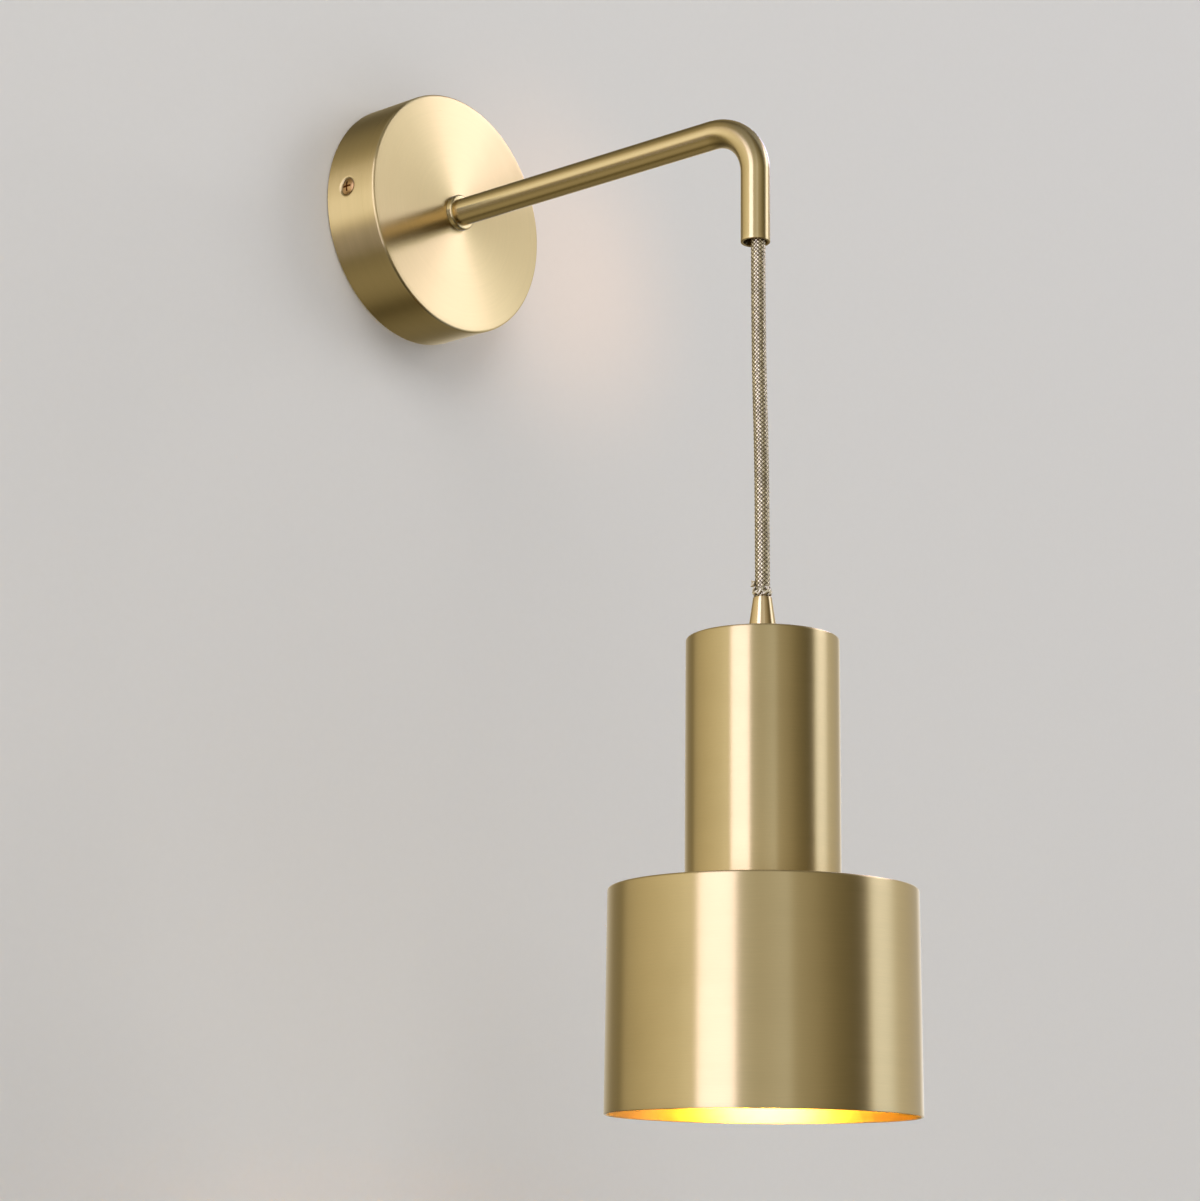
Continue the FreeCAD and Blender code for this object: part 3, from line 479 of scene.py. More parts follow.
def smudge_group(name):
    """Soft clouds of wear and handling over a piece, from noise on its own coordinates."""
    tree, given, result = shader_group(name, "Place", {"Size": 30.0}, ("Mask",))
    clouds = noise(tree, given["Place"], given["Size"], 5.0, 0.55, 0.6)
    feed(tree, result["Mask"], ranged(tree, clouds, 0.35, 0.7))
    return tree


def speckle_group(name):
    """Fine even grain of cast, moulded or fired surfaces."""
    tree, given, result = shader_group(name, "Place", {"Size": 900.0}, ("Tone", "Height"))
    cells = add_node(tree, "TexVoronoi", {"Vector": given["Place"], "Scale": given["Size"]})
    feed_all(tree, result, {"Tone": noise(tree, given["Place"], given["Size"], 4.0, 0.7),
                            "Height": cells.outputs["Distance"]})
    return tree


def braid_group(name):
    """The cord's braid: two families of yarns that cross over and under each other.

    One family's phase is carriers * turn + length / pitch, the other's carriers * turn minus it.
    Which yarn lies on top swaps from crossing to crossing."""
    tree, given, result = shader_group(name, "Turning", {"Carriers": 12.0, "Pitch": 0.001}, ("Gap", "Yarn"))
    split = add_node(tree, "SeparateXYZ", {"Vector": given["Turning"]}).outputs
    turn = times(tree, split["Y"], given["Carriers"])
    length = calc(tree, "DIVIDE", split["X"], given["Pitch"])
    phases = (plus(tree, turn, length), minus(tree, turn, length))
    wholes = [calc(tree, "FLOOR", phase) for phase in phases]
    swells = [calc(tree, "SINE", times(tree, calc(tree, "FRACT", phase), math.pi)) for phase in phases]
    tops = [times(tree, swell, calc(tree, "POWER", under, YARN_DIP))
            for swell, under in zip(swells, reversed(swells))]
    first = calc(tree, "FLOORED_MODULO", plus(tree, *wholes), 2.0)
    second = minus(tree, 1.0, first)
    swell = plus(tree, times(tree, tops[0], first), times(tree, tops[1], second))
    pick = plus(tree, times(tree, wholes[0], first), times(tree, wholes[1], second))
    place = add_node(tree, "CombineXYZ", {"X": pick, "Y": first, "Z": wholes[0]}).outputs[0]
    yarn = add_node(tree, "TexWhiteNoise", {"Vector": place}, noise_dimensions="3D").outputs["Value"]
    # Gap is 1 between the yarns, where the cord's material paints shade and roughens.
    feed_all(tree, result, {"Gap": ranged(tree, swell, 0.62, 0.22), "Yarn": yarn})
    return tree


GROUP_MAKERS = {"Turned Grain": grain_group, "Handling Smudges": smudge_group,
                "Fine Speckle": speckle_group, "Braided Yarn": braid_group}


def placed_group(tree, name, values):
    """A node group in a material, made the first time that a material asks for it."""
    made = tree.nodes.new("ShaderNodeGroup")
    made.node_tree = bpy.data.node_groups.get(name) or GROUP_MAKERS[name](name)
    feed_all(tree, made.inputs, values)
    return made.outputs


# ---- Materials -----------------------------------------------------------------------------------

def new_material(name):
    """An empty material with its Principled shader and the piece's own coordinates."""
    made = bpy.data.materials.new(name)
    made.use_nodes = True
    tree = made.node_tree
    shader = next(n for n in tree.nodes if n.type == "BSDF_PRINCIPLED")
    place = tree.nodes.new("ShaderNodeTexCoord").outputs["Object"]
    return made, tree, shader, place


def brushed_brass(name, colour, roughness, stretch, spacing, run, relief=0.000004):
    """Turned and brushed brass: lines round the piece, so that highlights smear across them.

    The deeper the lines, the more their tone and roughness vary. Rounded edges are painted lighter,
    part wear and part painted highlight; pressed dents are painted dark as painted shade; and the
    inside of the shade is rougher."""
    made, tree, shader, place = new_material(name)
    grain = placed_group(tree, "Turned Grain", {"Turning": turning_map(tree), "Spacing": spacing, "Run": run})
    smudge = placed_group(tree, "Handling Smudges", {"Place": place, "Size": 22.0})
    swing = 25000 * relief        # lines 0.004 mm deep swing the tone by a tenth
    edge = point_value(tree, "edge")
    base = tinted(tree, grain["Tone"], colour, 1.0 - swing, 1.0 + swing)
    # Painted highlight and wear: rounded edges, where the tone is above 0, are painted up to 12% lighter.
    wear_and_edge_highlight = mix_colour(tree, times(tree, edge, 0.35), base, shade_of(colour, 1.12))
    # Painted shade: pressed dents, where the tone is below 0, are painted dark brown.
    dent_shade_share = times(tree, edge, -0.8, clamp=True)
    painted_dent_shade = [c * low for c, low in zip(colour, (0.26, 0.2, 0.16))]
    rough = plus(tree, times(tree, minus(tree, grain["Tone"], 0.5), 1.2 * swing), roughness)
    rough = plus(tree, rough, times(tree, point_value(tree, "inside"), 0.26))
    feed_all(tree, shader.inputs, {
        "Base Color": mix_colour(tree, dent_shade_share, wear_and_edge_highlight, painted_dent_shade),
        "Roughness": plus(tree, rough, times(tree, smudge["Mask"], 0.025)),
        "Metallic": 1.0,
        "Anisotropic": stretch,
        "Tangent": add_node(tree, "Tangent", direction_type="UV_MAP", uv_map="Turning").outputs["Tangent"],
        "Normal": bumped(tree, grain["Height"], relief, 1.0)})
    return made


def speckled(name, colour, roughness, size, tones, smudge_size, smudging, relief, strength, metallic):
    """A finish with fine speckle, whose tone lies between the two tones, and smudges that roughen it."""
    made, tree, shader, place = new_material(name)
    speckle = placed_group(tree, "Fine Speckle", {"Place": place, "Size": size})
    smudge = placed_group(tree, "Handling Smudges", {"Place": place, "Size": smudge_size})
    feed_all(tree, shader.inputs, {
        "Base Color": tinted(tree, speckle["Tone"], colour, *tones),
        "Roughness": plus(tree, times(tree, smudge["Mask"], smudging), roughness),
        "Metallic": metallic,
        "Normal": bumped(tree, speckle["Height"], relief, strength)})
    return made


def plain_metal(name, colour, roughness, size=900.0):
    """Plated, raw or rolled metal."""
    return speckled(name, colour, roughness, size, tones=(0.86, 1.10), smudge_size=90.0, smudging=0.14,
                    relief=0.00001, strength=0.6, metallic=1.0)


def moulded(name, colour, roughness, size=700.0):
    """Moulded plastic, rubber or fired ceramic."""
    return speckled(name, colour, roughness, size, tones=(0.88, 1.12), smudge_size=60.0, smudging=0.12,
                    relief=0.00002, strength=0.5, metallic=0.0)


def braided_textile(name, colours, carriers, pitch):
    """Braided yarn with a silky sheen, and painted shade between the yarns."""
    made, tree, shader, place = new_material(name)
    braid = placed_group(tree, "Braided Yarn", {"Turning": turning_map(tree), "Carriers": float(carriers),
                                                "Pitch": pitch})
    fuzz = placed_group(tree, "Fine Speckle", {"Place": place, "Size": 2600.0})
    yarn = tinted(tree, braid["Yarn"], colours.yarn_light, 0.55, 1.0)
    speckled_yarn = mix_colour(tree, times(tree, fuzz["Tone"], 0.25), yarn, colours.yarn_dark_and_shade)
    feed_all(tree, shader.inputs, {
        # Painted shade: the gaps between the yarns are mixed almost all the way to the dark colour.
        "Base Color": mix_colour(tree, times(tree, braid["Gap"], 0.95), speckled_yarn, colours.yarn_dark_and_shade),
        "Roughness": plus(tree, 0.24, times(tree, braid["Gap"], 0.4)),
        "Metallic": 0.8,
        "Specular IOR Level": 0.7,
        "Normal": bumped(tree, fuzz["Height"], 0.00004, 0.6)})
    return made


def gathered_yarn(name, colours):
    """Loose ends of yarn: fine fibres along each strand, and painted shade where it lies behind its
    neighbours.
    """
    made, tree, shader, _ = new_material(name)
    fibre = placed_group(tree, "Turned Grain", {"Turning": turning_map(tree), "Spacing": 0.0012, "Run": 6.0})
    light = mix_colour(tree, fibre["Tone"], shade_of(colours.yarn_light, 0.9), (1.0, 0.92, 0.70))
    feed_all(tree, shader.inputs, {
        # Painted shade: the yarn is dark near the cord's skin, where it lies behind its neighbours.
        "Base Color": mix_colour(tree, point_value(tree, "edge"), colours.yarn_dark_and_shade, light),
        "Roughness": plus(tree, 0.25, times(tree, fibre["Tone"], 0.3)),
        "Metallic": 0.6,
        "Normal": bumped(tree, fibre["Height"], 0.00005, 0.7)})
    return made


def glowing_opal(name, colour, strength):
    """The lit opal globe: whitest at its foot, warmer towards the housing."""
    made, tree, shader, place = new_material(name)
    low, high = corners("bulb_globe")
    split = add_node(tree, "SeparateXYZ", {"Vector": place}).outputs
    height = ranged(tree, split["Z"], float(low[2]), float(high[2]))
    speckle = placed_group(tree, "Fine Speckle", {"Place": place, "Size": 400.0})
    warm = mix_colour(tree, height, colour, [colour[0], colour[1] * 0.86, colour[2] * 0.7])
    feed_all(tree, shader.inputs, {
        "Emission Color": mix_colour(tree, times(tree, speckle["Tone"], 0.12), warm, (1.0, 0.9, 0.75)),
        "Emission Strength": strength,
        "Base Color": tinted(tree, speckle["Tone"], (0.86, 0.84, 0.80), 0.97, 1.03),
        "Roughness": 0.35})
    return made


MATERIALS = {}


def make_materials():
    """Every finish of the lamp, under the record's material slot names and a few of its own."""
    sizes, colours, light = settings()
    brass, polished = tuple(colours.brass), tuple(colours.brass_polished)
    MATERIALS.update({
        # Brushed brass: colour, roughness, stretch of its highlights, spacing and run of its lines, relief.
        "dish": brushed_brass("Brushed Brass Dish", brass, 0.29, 0.95, 0.00022, 3.0),
        "tube": brushed_brass("Brushed Brass Tube", brass, 0.25, 0.85, 0.00030, 3.0, 0.000001),
        # Neck and shade: the same brass painted 3% lighter, so that they look brighter: painted light.
        "shell": brushed_brass("Brushed Brass Shade", shade_of(brass, 1.03), 0.30, 0.98, 0.00045, 5.0),
        "polished": brushed_brass("Polished Brass", polished, 0.13, 0.35, 0.0006, 1.5, 0.000001),
        # Other finishes: colour, roughness, and how many specks a metre holds.
        "brass_polished": plain_metal("Bronzed Brass Screws", (0.45, 0.25, 0.09), 0.17),
        "brass_raw": plain_metal("Raw Brass", (0.72, 0.52, 0.24), 0.30),
        "zinc_steel": plain_metal("Zinc Plated Steel", (0.62, 0.64, 0.66), 0.32, 500.0),
        "aluminium": plain_metal("Rolled Aluminium", (0.80, 0.81, 0.82), 0.34, 700.0),
        "core_rubber": moulded("Cable Core Rubber", (0.62, 0.60, 0.56), 0.55),
        "nylon": moulded("White Nylon", (0.78, 0.77, 0.74), 0.42),
        "phenolic": moulded("Black Phenolic", (0.028, 0.027, 0.026), 0.38),
        "ceramic": moulded("Glazed Ceramic", (0.83, 0.81, 0.76), 0.22, 300.0),
        "wire_brown": moulded("Brown Wire", (0.16, 0.06, 0.025), 0.40),
        "wire_blue": moulded("Blue Wire", (0.02, 0.09, 0.35), 0.40),
        "wire_green": moulded("Green Wire", (0.16, 0.33, 0.05), 0.40),
        "bulb_plastic": moulded("Bulb Housing", (0.80, 0.80, 0.78), 0.40),
        "black_glass": moulded("Black Glass", (0.02, 0.02, 0.022), 0.15),
        "opal_glass": glowing_opal("Lit Opal Globe", tuple(colours.glow), light.bulb),
        "gathered": gathered_yarn("Gathered Yarn", colours),
        "textile": braided_textile("Braided Textile", colours, sizes.braid_carriers, sizes.braid_pitch),
    })


# ---- Stage ---------------------------------------------------------------------------------------

def stage_plane(name, low, high, material):
    """A flat stage surface between two opposite corners, with its other edges along X."""
    (x0, y0, z0), (x1, y1, z1) = low, high
    mesh = bpy.data.meshes.new(name)
    mesh.from_pydata([(x0, y0, z0), (x1, y0, z0), (x1, y1, z1), (x0, y1, z1)], [], [(0, 1, 2, 3)])
    mesh.materials.append(material)
    plane = bpy.data.objects.new(name, mesh)
    bpy.context.scene.collection.objects.link(plane)
    plane.visible_glossy = False


def pale_paint(name, colour, one_sided=False):
    """Pale paint. A one-sided wall's back lets the view through, so that the lamp shows from behind."""
    made, tree, shader, place = new_material(name)
    speckle = placed_group(tree, "Fine Speckle", {"Place": place, "Size": 260.0})
    feed_all(tree, shader.inputs, {
        "Base Color": tinted(tree, speckle["Tone"], colour, 0.985, 1.015),
        "Roughness": 0.85,
        "Specular IOR Level": 0.25,
        "Normal": bumped(tree, speckle["Height"], 0.0001, 0.25)})
    if one_sided:
        both = tree.nodes.new("ShaderNodeMixShader")
        parts = (tree.nodes.new("ShaderNodeNewGeometry").outputs["Backfacing"], shader.outputs[0],
                 tree.nodes.new("ShaderNodeBsdfTransparent").outputs[0])
        for socket, part in zip(both.inputs, parts):
            tree.links.new(part, socket)
        output = next(n for n in tree.nodes if n.type == "OUTPUT_MATERIAL")
        tree.links.new(both.outputs[0], output.inputs["Surface"])
    return made


WHITE = (1.0, 1.0, 1.0)
COOL = (0.95, 1.0, 1.85)
LAMP_MIDDLE = Vector((0.0, PENDANT_Y, -0.22))     # what the softboxes face


def away(azimuth, elevation):
    """The direction out from the lamp: azimuth 0 points from the wall to the room, 90 to the right."""
    a, e = math.radians(azimuth), math.radians(elevation)
    return Vector((math.sin(a) * math.cos(e), -math.cos(a) * math.cos(e), math.sin(e)))


def add_light(name, kind, power, colour, place, aim):
    """A light at a place that shines along aim, and that the camera doesn't see."""
    data = bpy.data.lights.new(name, kind)
    data.energy = power
    data.color = colour
    lamp = bpy.data.objects.new(name, data)
    bpy.context.scene.collection.objects.link(lamp)
    lamp.location = place
    lamp.rotation_euler = aim.to_track_quat("-Z", "Y").to_euler()
    lamp.visible_camera = False
    return lamp


def softbox(name, azimuth, elevation, distance, width, height, radiance, colour=WHITE, mirrored=True):
    """A rectangular area light that faces the pendant; its power follows from its radiance and size.

    A mirrored light shows in the brass alone, and any other lights everything but stays out of it."""
    back = away(azimuth, elevation)
    power = radiance * math.pi * width * height
    lamp = add_light(name, "AREA", power, colour, LAMP_MIDDLE + back * distance, -back)
    lamp.data.shape = "RECTANGLE"
    lamp.data.size, lamp.data.size_y = width, height
    lamp.visible_glossy = mirrored
    lamp.visible_diffuse = not mirrored


def glow_spot(power):
    """A faint warm patch on the wall, right of the dish, as light thrown back by the brass."""
    place, target = Vector((0.27, -0.36, -0.02)), Vector((0.105, 0.0, 0.012))
    lamp = add_light("Wall Glow", "SPOT", power, (1.0, 0.50, 0.20), place, target - place)
    lamp.data.spot_size, lamp.data.spot_blend = math.radians(26), 1.0
    lamp.data.shadow_soft_size = 0.04
    lamp.visible_glossy = False


# The room that the brass mirrors. Its tone by azimuth, in degrees, with the camera's side at -50; then
# what that is multiplied by, by height (the sine of the elevation), in front of the wall and behind it.
ROOM_ROUND = [(-180, 0.12), (-172, 0.25), (-140, 0.40), (-115, 0.52), (-100, 0.84), (-68, 0.88),
              (-58, 0.76), (-50, 0.80), (-35, 0.92), (-30, 0.62), (-14, 0.47), (0, 0.29), (18, 0.15),
              (27, 0.13), (33, 1.18), (50, 1.18), (62, 0.78), (80, 0.60), (100, 0.52), (120, 0.42),
              (140, 0.26), (165, 0.12), (180, 0.12)]
ROOM_FRONT = [(-1, 0.05), (-0.6, 0.15), (-0.3, 0.8), (-0.1, 1.0), (0.2, 1.0), (0.35, 0.88), (0.5, 0.85),
              (0.75, 0.45), (1, 0.4)]
ROOM_BEHIND = [(-1, 1.4), (-0.78, 1.4), (-0.6, 0.8), (-0.45, 0.5), (-0.2, 0.44), (-0.02, 2.5), (0.22, 2.5),
               (0.5, 1.7), (0.72, 0.9), (1, 0.9)]
BRIGHTEST = 2.6               # a ramp holds no value over 1, so its tones are shares of this
ROOM_SEEN = (0.62, 0.60, 0.565)
WARM_TINT = (1.11, 1.0, 0.66)
COOL_TINT = (0.86, 1.0, 1.42)


def tone_ramp(tree, value, stops, reach):
    """A number read off a line through the stops, for a value between -reach and reach."""
    ramp = tree.nodes.new("ShaderNodeValToRGB")
    ramp.color_ramp.interpolation = "LINEAR"
    elements = ramp.color_ramp.elements
    for index, (place, tone) in enumerate(stops):
        share = (place + reach) / (2 * reach)
        stop = elements[index] if index < 2 else elements.new(share)
        stop.position = share
        stop.color = (tone / BRIGHTEST,) * 3 + (1.0,)
    feed(tree, ramp.inputs["Fac"], calc(tree, "DIVIDE", plus(tree, value, reach), 2 * reach))
    return times(tree, ramp.outputs["Color"], BRIGHTEST)


def room_light(ambient):
    """The room: plain to the camera, even to dull surfaces, and to shiny ones a tone off the ramps.

    Its dark parts are warm and its light parts cool, as a photograph's own tones are."""
    world = bpy.data.worlds.new("Studio Room")
    bpy.context.scene.world = world
    world.use_nodes = True
    tree = world.node_tree
    background = next(n for n in tree.nodes if n.type == "BACKGROUND")
    ray = add_node(tree, "TexCoord").outputs["Generated"]
    x, y, z = add_node(tree, "SeparateXYZ", {"Vector": ray}).outputs
    azimuth = calc(tree, "DEGREES", calc(tree, "ARCTAN2", x, times(tree, y, -1.0)))
    behind = ranged(tree, y, 0.1, 0.4, interpolation_type="SMOOTHSTEP")
    front = tone_ramp(tree, z, ROOM_FRONT, 1)
    back = tone_ramp(tree, z, ROOM_BEHIND, 1)
    height = plus(tree, front, times(tree, behind, minus(tree, back, front)))
    around = tone_ramp(tree, azimuth, ROOM_ROUND, 180)
    tone = times(tree, around, height)
    bright = plus(tree, around, times(tree, behind, minus(tree, times(tree, tone, 0.6), around)))
    tint = mix_colour(tree, ranged(tree, bright, 0.0, 1.2), WARM_TINT, COOL_TINT)
    mirrored = mix_colour(tree, 1.0, tint, tone, "MULTIPLY")
    rays = tree.nodes.new("ShaderNodeLightPath").outputs
    seen = mix_colour(tree, rays["Is Glossy Ray"], (ambient,) * 3, mirrored)
    feed(tree, background.inputs["Color"], mix_colour(tree, rays["Is Camera Ray"], seen, ROOM_SEEN))


def photo_camera():
    """The camera at the photograph's place. Back points from the lamp to it, and it rolls about back."""
    back = away(CAMERA_AZIMUTH, CAMERA_ELEVATION)
    a = math.radians(CAMERA_AZIMUTH)
    right = Vector((math.cos(a), math.sin(a), 0.0))
    up = back.cross(right)
    rolled_right = right * math.cos(CAMERA_ROLL) + up * math.sin(CAMERA_ROLL)
    rolled_up = up * math.cos(CAMERA_ROLL) - right * math.sin(CAMERA_ROLL)
    data = bpy.data.cameras.new("Photo Camera")
    data.lens = CAMERA_LENS
    data.sensor_width = SENSOR_WIDTH
    data.clip_start, data.clip_end = 0.01, 50.0
    camera = bpy.data.objects.new("Photo Camera", data)
    bpy.context.scene.collection.objects.link(camera)
    turn = Matrix((rolled_right, rolled_up, back)).transposed().to_4x4()
    camera.matrix_world = Matrix.Translation(CAMERA_PLACE) @ turn
    bpy.context.scene.camera = camera


class SCONCE_OT_stage(bpy.types.Operator):
    """Camera, wall, floor and soft studio light"""
    bl_idname = "sconce.stage"
    bl_label = "Stage"

    def execute(self, context):
        _, colours, light = settings()
        photo_camera()
        context.scene.view_settings.view_transform = "Standard"
        wall = tuple(colours.wall)
        back, floor = 0.0006, -1.4
        stage_plane("wall_backdrop", (-4, back, floor), (4, back, 4),
                    pale_paint("Painted Plaster", wall, one_sided=True))
        stage_plane("floor", (-4, -5, floor), (4, back, floor), pale_paint("Pale Floor", wall))
        # Azimuth and elevation in degrees, distance, width and height in metres, radiance, colour.
        softbox("Left Softbox", -87.0, 6.0, 1.5, 0.77, 2.2, light.left_box, COOL)
        softbox("Top Softbox", 66.0, 40.0, 1.7, 0.70, 0.42, light.top_box, (1.0, 0.96, 1.7))
        softbox("Pale Screen", 50.0, 26.0, 1.7, 0.6, 0.6, light.screen, (0.95, 1.0, 1.35))
        softbox("Bend Strip", 114.0, 34.0, 1.6, 0.80, 0.18, light.bend_strip, COOL)
        softbox("Key Light", 55.0, 24.0, 4.5, 2.4, 2.4, light.key, mirrored=False)
        softbox("Fill Light", -30.0, 40.0, 1.9, 1.1, 1.1, light.fill, mirrored=False)
        glow_spot(light.wall_glow)
        room_light(light.ambient)
        return {"FINISHED"}


# ---- Cord ----------------------------------------------------------------------------------------

def spline_points(route, name):
    """Points of the smooth NURBS line whose control points are the route."""
    curve = bpy.data.curves.new(name, "CURVE")
    curve.dimensions = "3D"
    curve.resolution_u = 48
    spline = curve.splines.new("NURBS")
    spline.points.add(len(route) - 1)
    for point, place in zip(spline.points, route):
        point.co = (*place, 1.0)
    spline.order_u = 3
    spline.use_endpoint_u = True
    holder = bpy.data.objects.new(name, curve)
    bpy.context.scene.collection.objects.link(holder)
    mesh = bpy.data.meshes.new_from_object(holder)
    points = vertex_places(mesh)
    bpy.data.objects.remove(holder)
    bpy.data.meshes.remove(mesh)
    bpy.data.curves.remove(curve)
    return points


def evenly(points, step):
    """The line with its points about a step apart."""
    length = run_lengths(points)
    count = max(2, int(round(length[-1] / step)) + 1)
    return line_at(points, length, np.linspace(0, length[-1], count))


def cut_line(points, low, high):
    """The part of a falling line between two heights, with its ends exactly there."""
    heights = points[:, 2]
    inside = (heights < high - 1e-7) & (heights > low + 1e-7)
    ends = [np.array([np.interp(-z, -heights, points[:, k]) for k in range(2)] + [z]) for z in (high, low)]
    return np.concatenate([ends[:1], points[inside], ends[1:]])


def braid_swell(turn, length, carriers, pitch):
    """Height of the braid, 0 to 1, by the formula of the material's braid: the yarn on top swells
    across its width and dips where it goes under the next one."""
    first = carriers * turn + length / pitch
    second = carriers * turn - length / pitch
    swell_1 = np.sin(np.pi * (first % 1))
    swell_2 = np.sin(np.pi * (second % 1))
    parity = (np.floor(first) + np.floor(second)) % 2
    return np.where(parity > 0.5, swell_1 * swell_2 ** YARN_DIP, swell_2 * swell_1 ** YARN_DIP)


def cord_tube(name, path, start_length, sizes, columns=72):
    """A braided tube round a path in the YZ plane, closed at both ends by shrinking rows.

    point = path + radius * (cos * X + sin * across), with the radius swollen by the braid."""
    across = np.cross(unit(np.gradient(path, axis=0)), X_AXIS)
    length = run_lengths(path) + start_length
    turn = np.arange(columns) / columns
    swell = braid_swell(turn[None], length[:, None], sizes.braid_carriers, sizes.braid_pitch)
    radius = sizes.cord_radius + sizes.braid_height * (swell - 0.3)
    body = rings(path, radius[..., None], X_AXIS[None], across, turn)
    shrunk = [[path[end] + (body[end] - path[end]) * share for share in (0.0, 0.55, 0.9)] for end in (0, -1)]
    points = np.stack(shrunk[0] + list(body) + shrunk[1][::-1])
    along = np.concatenate([[length[0]] * 3, length, [length[-1]] * 3])
    return finished(surface(name, points, along, turn), sharp=60.0, weld=True)


def cuff_lines(sizes, share):
    """The lines that the gathered end's bundles of yarn follow: turn, height and distance from the
    axis along each, and its yarn's radius.

    A strand's turn drifts, its height rises, and its distance swells by half a sine before it tucks
    in. A loop of the knot goes round a point on the cord's left: its turn follows a cosine, its
    height a sine."""
    draw = np.random.default_rng(7)
    low, high = corners("braid_cuff")
    foot, rise = low[2], high[2] - low[2]
    skin = sizes.cord_radius + 0.0001
    lines = []
    for index in range(CUFF_STRANDS):
        start = (index + draw.uniform(-0.35, 0.35)) / CUFF_STRANDS
        drift = (1 if index % 2 else -1) * draw.uniform(0.10, 0.24)
        top = draw.uniform(0.26, 0.52) * rise
        bulge = draw.uniform(0.0001, 0.0008)
        height = foot + 0.0003 + top * share ** 0.8
        distance = skin + bulge * np.sin(np.pi * share) - 0.0006 * share ** 6
        angle = TURN * (start + drift * share)
        lines.append((angle, height, distance, draw.uniform(0.00042, 0.00062)))
    for _ in range(CUFF_LOOPS):
        middle = KNOT_TURN + draw.uniform(-0.035, 0.035)
        swing = TURN * draw.uniform(0.7, 0.95)
        phase = draw.uniform(0, TURN) + swing * share
        reach = draw.uniform(0.02, 0.045)
        height = foot + (0.64 + draw.uniform(-0.04, 0.04)) * rise + 0.0008 * np.sin(phase)
        distance = skin + draw.uniform(0.0007, 0.0015) * np.sin(np.pi * share)
        angle = TURN * (middle + reach * np.cos(phase))
        lines.append((angle, height, distance, draw.uniform(0.00026, 0.00036)))
    return lines


def gathered_cuff(name, sizes, sides=8):
    """The braid's gathered end: bundles of yarn that wind up from the grip and cross, and a small knot.

    Each bundle is a thin tube with tapered ends. Its tone rises from the cord's skin outwards, and the yarn's
    material paints shade where it is low."""
    share = np.linspace(0, 1, 15)
    taper = np.minimum(1.0, 0.35 + 5 * np.minimum(share, 1 - share))[:, None, None]
    ring = np.arange(sides) / sides
    meshes = []
    for index, (angle, height, distance, yarn) in enumerate(cuff_lines(sizes, share)):
        out = np.stack([np.cos(angle), np.sin(angle), np.zeros_like(angle)], axis=1)
        line = np.stack([np.cos(angle) * distance, PENDANT_Y + np.sin(angle) * distance, height], axis=1)
        tangent = unit(np.gradient(line, axis=0))
        side = unit(np.cross(tangent, out))
        tube = rings(line, yarn * taper, side, np.cross(side, tangent), ring)
        ends = [np.repeat(line[end][None, None], sides, 1) for end in (0, -1)]
        closed = np.concatenate([ends[0], tube, ends[1]])
        from_axis = np.hypot(closed[..., 0], closed[..., 1] - PENDANT_Y)
        # Share of painted light: 0 at the cord's skin, where the yarn is painted in shade.
        painted_light_share = np.clip((from_axis - sizes.cord_radius - 0.0002) / 0.0007, 0, 1)
        along = np.arange(len(closed)) * 0.0004 + index * 0.003
        strand = surface(f"{name}_{index}", closed, along, ring, tone=painted_light_share)
        meshes.append(finished(strand, sharp=80.0, weld=True))
    return joined(name, meshes)


def joined(name, meshes):
    """One mesh from several, with their maps kept."""
    work = bmesh.new()
    for mesh in meshes:
        work.from_mesh(mesh)
    whole = bpy.data.meshes.new(name)
    work.to_mesh(whole)
    work.free()
    for mesh in meshes:
        bpy.data.meshes.remove(mesh)
    whole.shade_smooth()
    return whole


class SCONCE_OT_cord(bpy.types.Operator):
    """The braided cord, from the arm to the grip, and its gathered end"""
    bl_idname = "sconce.cord"
    bl_label = "Braided Cord"

    def execute(self, context):
        sizes = settings()[0]
        step = sizes.braid_pitch / 5
        whole = np.concatenate([[[0.0, CORD_EXIT[1], CORD_INSIDE]], spline_points(CORD_ROUTE, "cord_line")])
        upper = evenly(cut_line(whole, SWAY_PIVOT[2], CORD_INSIDE), step)
        lower = evenly(cut_line(whole, GRIP_TOP[2], SWAY_PIVOT[2]), step)
        upper_length = run_lengths(upper)[-1]
        top = add_piece(cord_tube("cord_top_braid", upper, 0.0, sizes), "textile", None, "textile",
                        "cord_upper")
        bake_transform(top)
        bottom = add_piece(cord_tube("cord_long_braid", lower, upper_length, sizes), "textile", None,
                           "textile", "cord_lower")
        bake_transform(bottom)
        end = add_piece(gathered_cuff("gathered_braid_end", sizes), "gathered", "cord_bottom", "textile",
                        "braid_cuff")
        arm_line = evenly(spline_points(ARM_CORD_ROUTE, "arm_cord_line"), step * 1.5)
        add_piece(cord_tube("cord_in_arm_braid", arm_line, 0.0, sizes, columns=48), "textile", "wall_arm",
                  "textile", "arm_cord")
        return {"FINISHED"}


# ---- Brass ---------------------------------------------------------------------------------------

